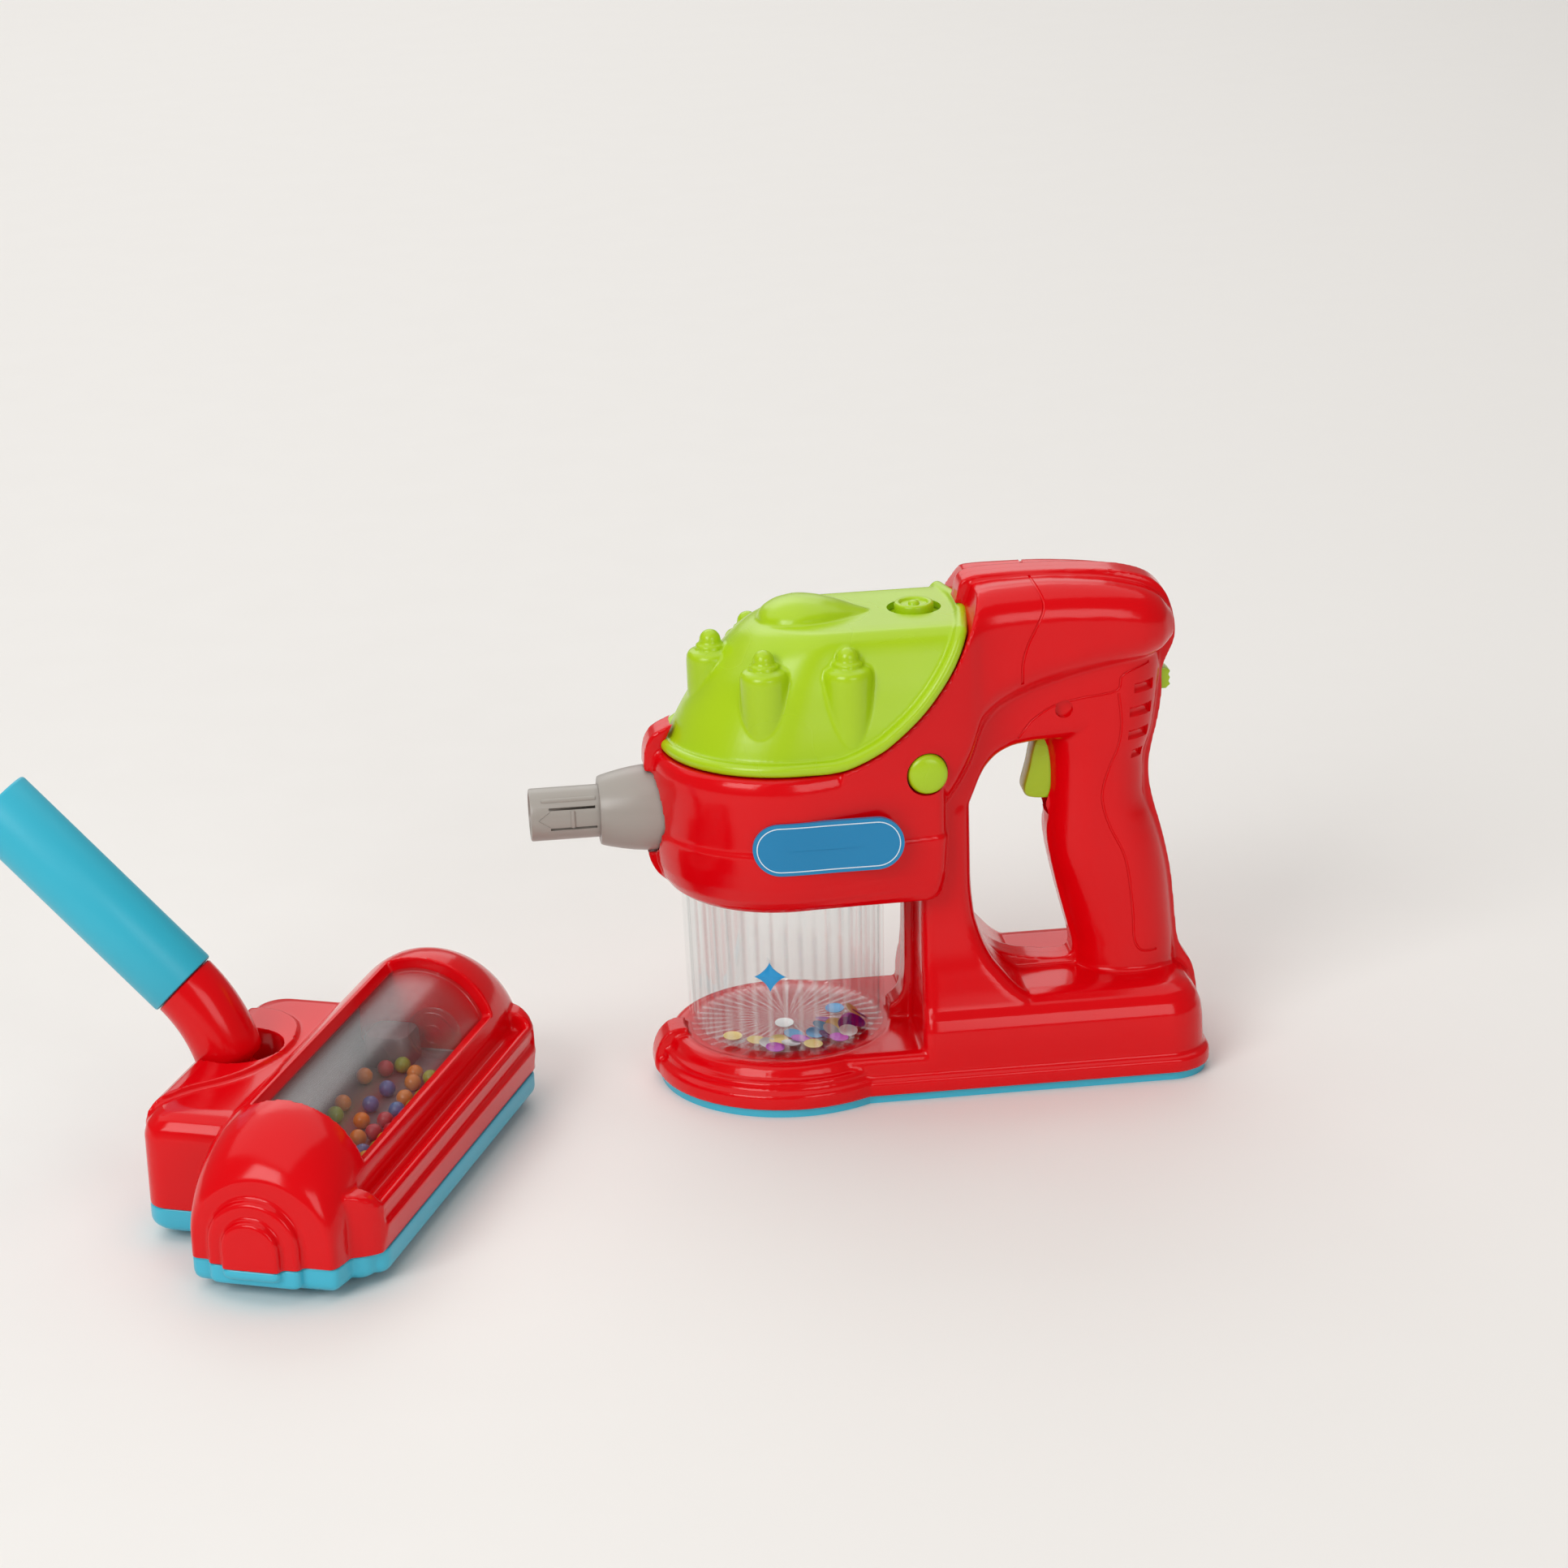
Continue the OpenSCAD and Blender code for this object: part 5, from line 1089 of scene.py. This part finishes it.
class VAC_OT_head(bpy.types.Operator):
    """Moulds the red cover and the blue tray of the floor head"""
    bl_idname = "vac.head"
    bl_label = "Floor head"

    def execute(self, context):
        rows = [(-v, h, t) for v, h, t in reversed(BARREL_ROWS)] + BARREL_ROWS[1:]
        skirt = [[(u, v, z) for u, z in outline] for v, outline in SKIRT_SECTIONS]
        skirt = [[(u, -v, z) for u, v, z in ring] for ring in reversed(skirt)] + skirt
        rear = [(12, 0, 9), (38, 0, 9), (41.6, 0.8, 9), (44.6, 2.8, 9), (46.4, 5.4, 9), (47, 9, 9)]
        saddle = loft("saddle", [self.rear_ring(z + 1.8, d - 0.8, r) for z, d, r in rear])
        cut(saddle, loft("saddle_edge", [[(x, y, z) for x, y in softened(SADDLE_OUTLINE, 3)] for z in (36, 60)]),
            "INTERSECT")
        parts = [
            loft("barrel", [arch_ring(*r) for r in through(rows, 3)]),
            stepped("step", 16.4, 36, 95, -2), stepped("inner_step", 10.4, 30, 98, -2),
            loft("rear", [self.rear_ring(z, d, r) for z, d, r in rear]), loft("skirt", skirt), saddle]
        cover = joined("head_cover_skin", parts)
        detail = context.scene.vacuum_sizes.head_detail / MM
        mould(cover, detail, 0)
        self.stretch(cover)
        cut(cover, self.sector("window_room", 19.0, 60.0, 17.5, 115.5, WINDOW_LOW, WINDOW_HIGH))
        cut(cover, rod("neck_room", (-44, 0, 24), (-44, 0, 80), 15.8, 64))
        mould(cover, detail, 2)
        cut(cover, box("cover_under", (-100, -130, -10), (100, 130, 12.75)))
        inside = loft("inside", [arch_ring(v, 24.6, 55.8, 0, 5) for v in (WINDOW_LOW, WINDOW_HIGH)])
        cut(cover, inside)
        self.wheel_rooms(cover)
        modify(cover, "DECIMATE", ratio=0.6)
        to_head(cover)
        finish(cover, 40, "floor_head", "red_plastic", "red", "head_cover")
        low = [(3, 5), (3.3, 3.4), (4.2, 1.6), (5.6, 0.4), (7.2, 0), (12.2, 0), (12.5, 0.4)]
        ends = [(v, h) for v, h, _ in BARREL_ROWS[1:-1]] + [(91.6, 22)]
        plan = [(h, v) for v, h in ends] + [(-h, v) for v, h in reversed(ends)]
        plan += [(-u, -v) for u, v in plan]
        parts = [loft("tray", [[(u, v, z) for u, v in inset(softened(plan, 2), d)] for z, d in low])]
        parts.append(loft("tray_rear", [self.rear_ring(z, d, 9) for z, d in low]))
        for a, b, h, r in ((0, 37.4, 76, 5), (5, 34, 81, 7)):
            parts.append(loft("tray_front",
                              [flat_ring(z, a + d, b - d, h - d, max(r - d, 0.6), max(r - d, 0.6))
                               for z, d in low]))
        for half, reach, bottom in ((16.4, 95, 5), (10.4, 98, 8.4)):
            rows = [(bottom, 2.2), (bottom + 0.5, 0.9), (bottom + 1.8, 0), (12.2, 0), (12.5, 0.4)]
            parts.append(loft("tray_step",
                              [flat_ring(z, -2 - half + d, -2 + half - d, reach - d, 2.4, 2.4) for z, d in rows]))
        tray = joined("head_tray_skin", parts)
        mould(tray, detail, 2)
        self.stretch(tray)
        modify(tray, "DECIMATE", ratio=0.6)
        self.wheel_rooms(tray)
        to_head(tray)
        finish(tray, 40, "floor_head", "blue_plastic", "blue", "head_tray")
        return {"FINISHED"}

    @staticmethod
    def rear_ring(z, d, r):
        """A level section of the housing behind the barrel."""
        return [(x, y - 4.3, z) for x, y, z in flat_ring(z, -58 + d, -6, 55.3 - d, r, r)]

    @staticmethod
    def stretch(obj):
        """Draws a piece of the head out along the barrel, more at its far end."""
        take(obj)
        obj.scale = (1, 1.04, 1)
        obj.location = (0, 2 * MM, 0)
        bpy.ops.object.transform_apply(location=True, rotation=True, scale=True)

    @staticmethod
    def wheel_rooms(obj):
        """Clears the room that the wheels turn in."""
        for u, v, r in WHEELS.values():
            for side in (-1, 1):
                cut(obj, rod("wheel_room", (u, side * v - 5.5, r), (u, side * v + 5.5, r), r + 1, 48))

    @staticmethod
    def sector(name, inner, outer, start, end, low, high):
        """A wedge about the barrel's axis between two angles, for the window."""
        rings = []
        for i in range(25):
            angle = math.radians(start + (end - start) * i / 24)
            c, s = math.cos(angle), math.sin(angle)
            corners = ((inner, low), (outer, low), (outer, high), (inner, high))
            rings.append([(r * c, v, BARREL_Z + r * s) for r, v in corners])
        return loft(name, rings)


class VAC_OT_window(bpy.types.Operator):
    """Makes the clear cover over the beads, its ringed end and the beads"""
    bl_idname = "vac.window"
    bl_label = "Window and beads"

    def execute(self, context):
        outer_r, inner_r, start, sweep, steps = 25.2, 23.6, 12, 106, 40
        angles = [math.radians(start + sweep * i / steps) for i in range(steps + 1)]
        rings = []
        for v, slim in ((-64.6, 0.3), (-64.3, 0), (63.4, 0), (63.7, 0.3)):
            ring = [(outer_r - slim, a) for a in angles] + [(inner_r + slim, a) for a in reversed(angles)]
            rings.append([(r * math.cos(a), v, BARREL_Z + r * math.sin(a)) for r, a in ring])
        glass = to_head(loft("window_shell", rings))
        finish(glass, 30, "floor_head", "clear_plastic", "glass", "window")
        disc = to_head(turned("window_ring_disc", RING_DISC_PROFILE, (12, 44, 39), axis=(0, 1, 0)))
        finish(disc, 30, "floor_head", "clear_plastic", "glass")
        rings = []
        for v, d in ((-62, 0.6), (-61.6, 0), (61.6, 0), (62, 0.6)):
            rings.append([(u, v, z + d) for u, z in CHANNEL_OUTLINE])
        channel = loft("bead_channel", rings)
        popper = loft("popper_case", [flat_ring(z, -16 + d, 2 - d, 9 - d, 4, 4, 32)
                                      for z, d in ((24.6, 0), (35, 0.4), (36.4, 1), (37, 2.4))])
        popper.location = (0, 51 * MM, 0)
        take(popper)
        bpy.ops.object.transform_apply(location=True, rotation=True, scale=True)
        channel = joined("bead_channel", [channel, popper])
        to_head(channel)
        finish(channel, 40, "floor_head", "dark_plastic", "trough", "ball_trough")
        ball = context.scene.vacuum_sizes.ball_radius / MM
        profile = [(ball * math.sin(a), -ball * math.cos(a)) for a in map(math.radians, range(6, 175, 12))]
        for name, places in BEAD_PLACES.items():
            beads = []
            for place in places:
                beads.append(turned("bead", profile, place, count=24))
            piece = to_head(joined("bead_row_" + name, beads))
            finish(piece, 60, "floor_head", "ball_" + name, "ball_" + name, "balls_" + name)
        return {"FINISHED"}


class VAC_OT_neck(bpy.types.Operator):
    """Bends the red neck and draws the blue tube"""
    bl_idname = "vac.neck"
    bl_label = "Neck and tube"

    def execute(self, context):
        foot, slope, bend_r, steps = math.radians(75), math.radians(44), 56, 16
        pin = Vector((-44.6, 0, 33))
        start = pin + 12 * Vector((-math.cos(foot), 0, math.sin(foot)))
        centre = start - bend_r * Vector((math.sin(foot), 0, math.cos(foot)))
        bend = [centre + bend_r * Vector((math.sin(a), 0, math.cos(a)))
                for a in (foot + (slope - foot) * i / steps for i in range(steps + 1))]
        along = Vector((-math.cos(slope), 0, math.sin(slope)))
        end = bend[-1]
        # From the pin up to the bend, round it, then the thinner spigot that the tube sits on.
        line = [pin, pin + 0.75 * (start - pin), pin + 0.9 * (start - pin)] + bend[:-1] + [end - 0.4 * along, end]
        radii = [7, 7.2, 9.8, 11.6] + [12.2] * (len(bend) - 2) + [12.2, 11.7]
        line += [end + 0.05 * along, end + 19 * along, end + 20 * along]
        radii += [10, 10, 9.4]
        hub_profile = [(6.4, -10), (7, -9.4), (7, 9.4), (6.4, 10)]
        hub = turned("neck_hub", hub_profile, pin, (0, 1, 0), (1, 0, 0), 48)
        neck = to_head(joined("neck_bend", [swept("neck_bend", line, radii, 64), hub]))
        finish(neck, 40, "neck", "red_plastic", "red", "neck")
        tube = to_head(turned("push_tube", TUBE_PROFILE, end, along, (0, 1, 0), 96, closed=True))
        finish(tube, 40, "tube", "blue_plastic", "tube", "tube")
        for name, (u, v, r) in WHEELS.items():
            face = [(1.55, -3.4), (3, -3.4), (3.2, -4.3), (4.2, -4.3), (4.4, -3.2), (r - 2.2, -3.2),
                    (r - 2, -4.4), (r - 0.6, -4.4), (r, -3.6)]
            profile = face + [(radius, -place) for radius, place in reversed(face)]
            wheels = [turned("wheel", profile, (u, side * v, r), (0, 1, 0), (1, 0, 0), 64, closed=True)
                      for side in (-1, 1)]
            pair = to_head(joined(name + "_wheel_pair", wheels))
            finish(pair, 40, name + "_axle", "blue_plastic", "blue", name + "_wheels")
        return {"FINISHED"}


class VAC_OT_plain_nodes(bpy.types.Operator):
    """Gives the solids that keep their own shape their materials"""
    bl_idname = "vac.plain_nodes"
    bl_label = "Plain solids"

    def execute(self, context):
        slots = {"red_plastic": "red", "lime_plastic": "lime", "blue_plastic": "blue", "grey_plastic": "grey",
                 "clear_plastic": "clear", "dark_plastic": "dark", "steel": "steel", "board": "board",
                 "sticker_blue": "sticker"}
        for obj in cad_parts.values():
            for slot in obj.material_slots:
                base = slot.name.split(".")[0]
                key = slots.get(base, base)
                if key in MATERIALS:
                    slot.material = MATERIALS[key]
        return {"FINISHED"}


class VAC_PT_panel(bpy.types.Panel):
    """Lists the steps that dress the toy vacuum cleaner"""
    bl_idname = "VAC_PT_panel"
    bl_label = "Toy Vacuum"
    bl_space_type = "VIEW_3D"
    bl_region_type = "UI"
    bl_category = "Toy Vacuum"

    def draw(self, context):
        for settings in (context.scene.vacuum_colours, context.scene.vacuum_sizes):
            column = self.layout.column(align=True)
            for key in settings.__annotations__:
                column.prop(settings, key)
        for step in STEPS:
            self.layout.operator(step.bl_idname)


STEPS = (VAC_OT_materials, VAC_OT_stage, VAC_OT_housing, VAC_OT_dome, VAC_OT_controls, VAC_OT_nozzle, VAC_OT_bin,
         VAC_OT_stickers, VAC_OT_head, VAC_OT_window, VAC_OT_neck, VAC_OT_plain_nodes)
CLASSES = (VacuumColours, VacuumSizes) + STEPS + (VAC_PT_panel,)


def register():
    """Adds the classes and the settings to Blender."""
    for item in CLASSES:
        bpy.utils.register_class(item)
    bpy.types.Scene.vacuum_colours = PointerProperty(type=VacuumColours)
    bpy.types.Scene.vacuum_sizes = PointerProperty(type=VacuumSizes)


def unregister():
    """Takes the settings and the classes away again."""
    del bpy.types.Scene.vacuum_sizes
    del bpy.types.Scene.vacuum_colours
    for item in reversed(CLASSES):
        bpy.utils.unregister_class(item)


def main():
    """Runs every step in order."""
    register()
    for step in STEPS:
        group, name = step.bl_idname.split(".")
        getattr(getattr(bpy.ops, group), name)()


if __name__ == "__main__":
    main()
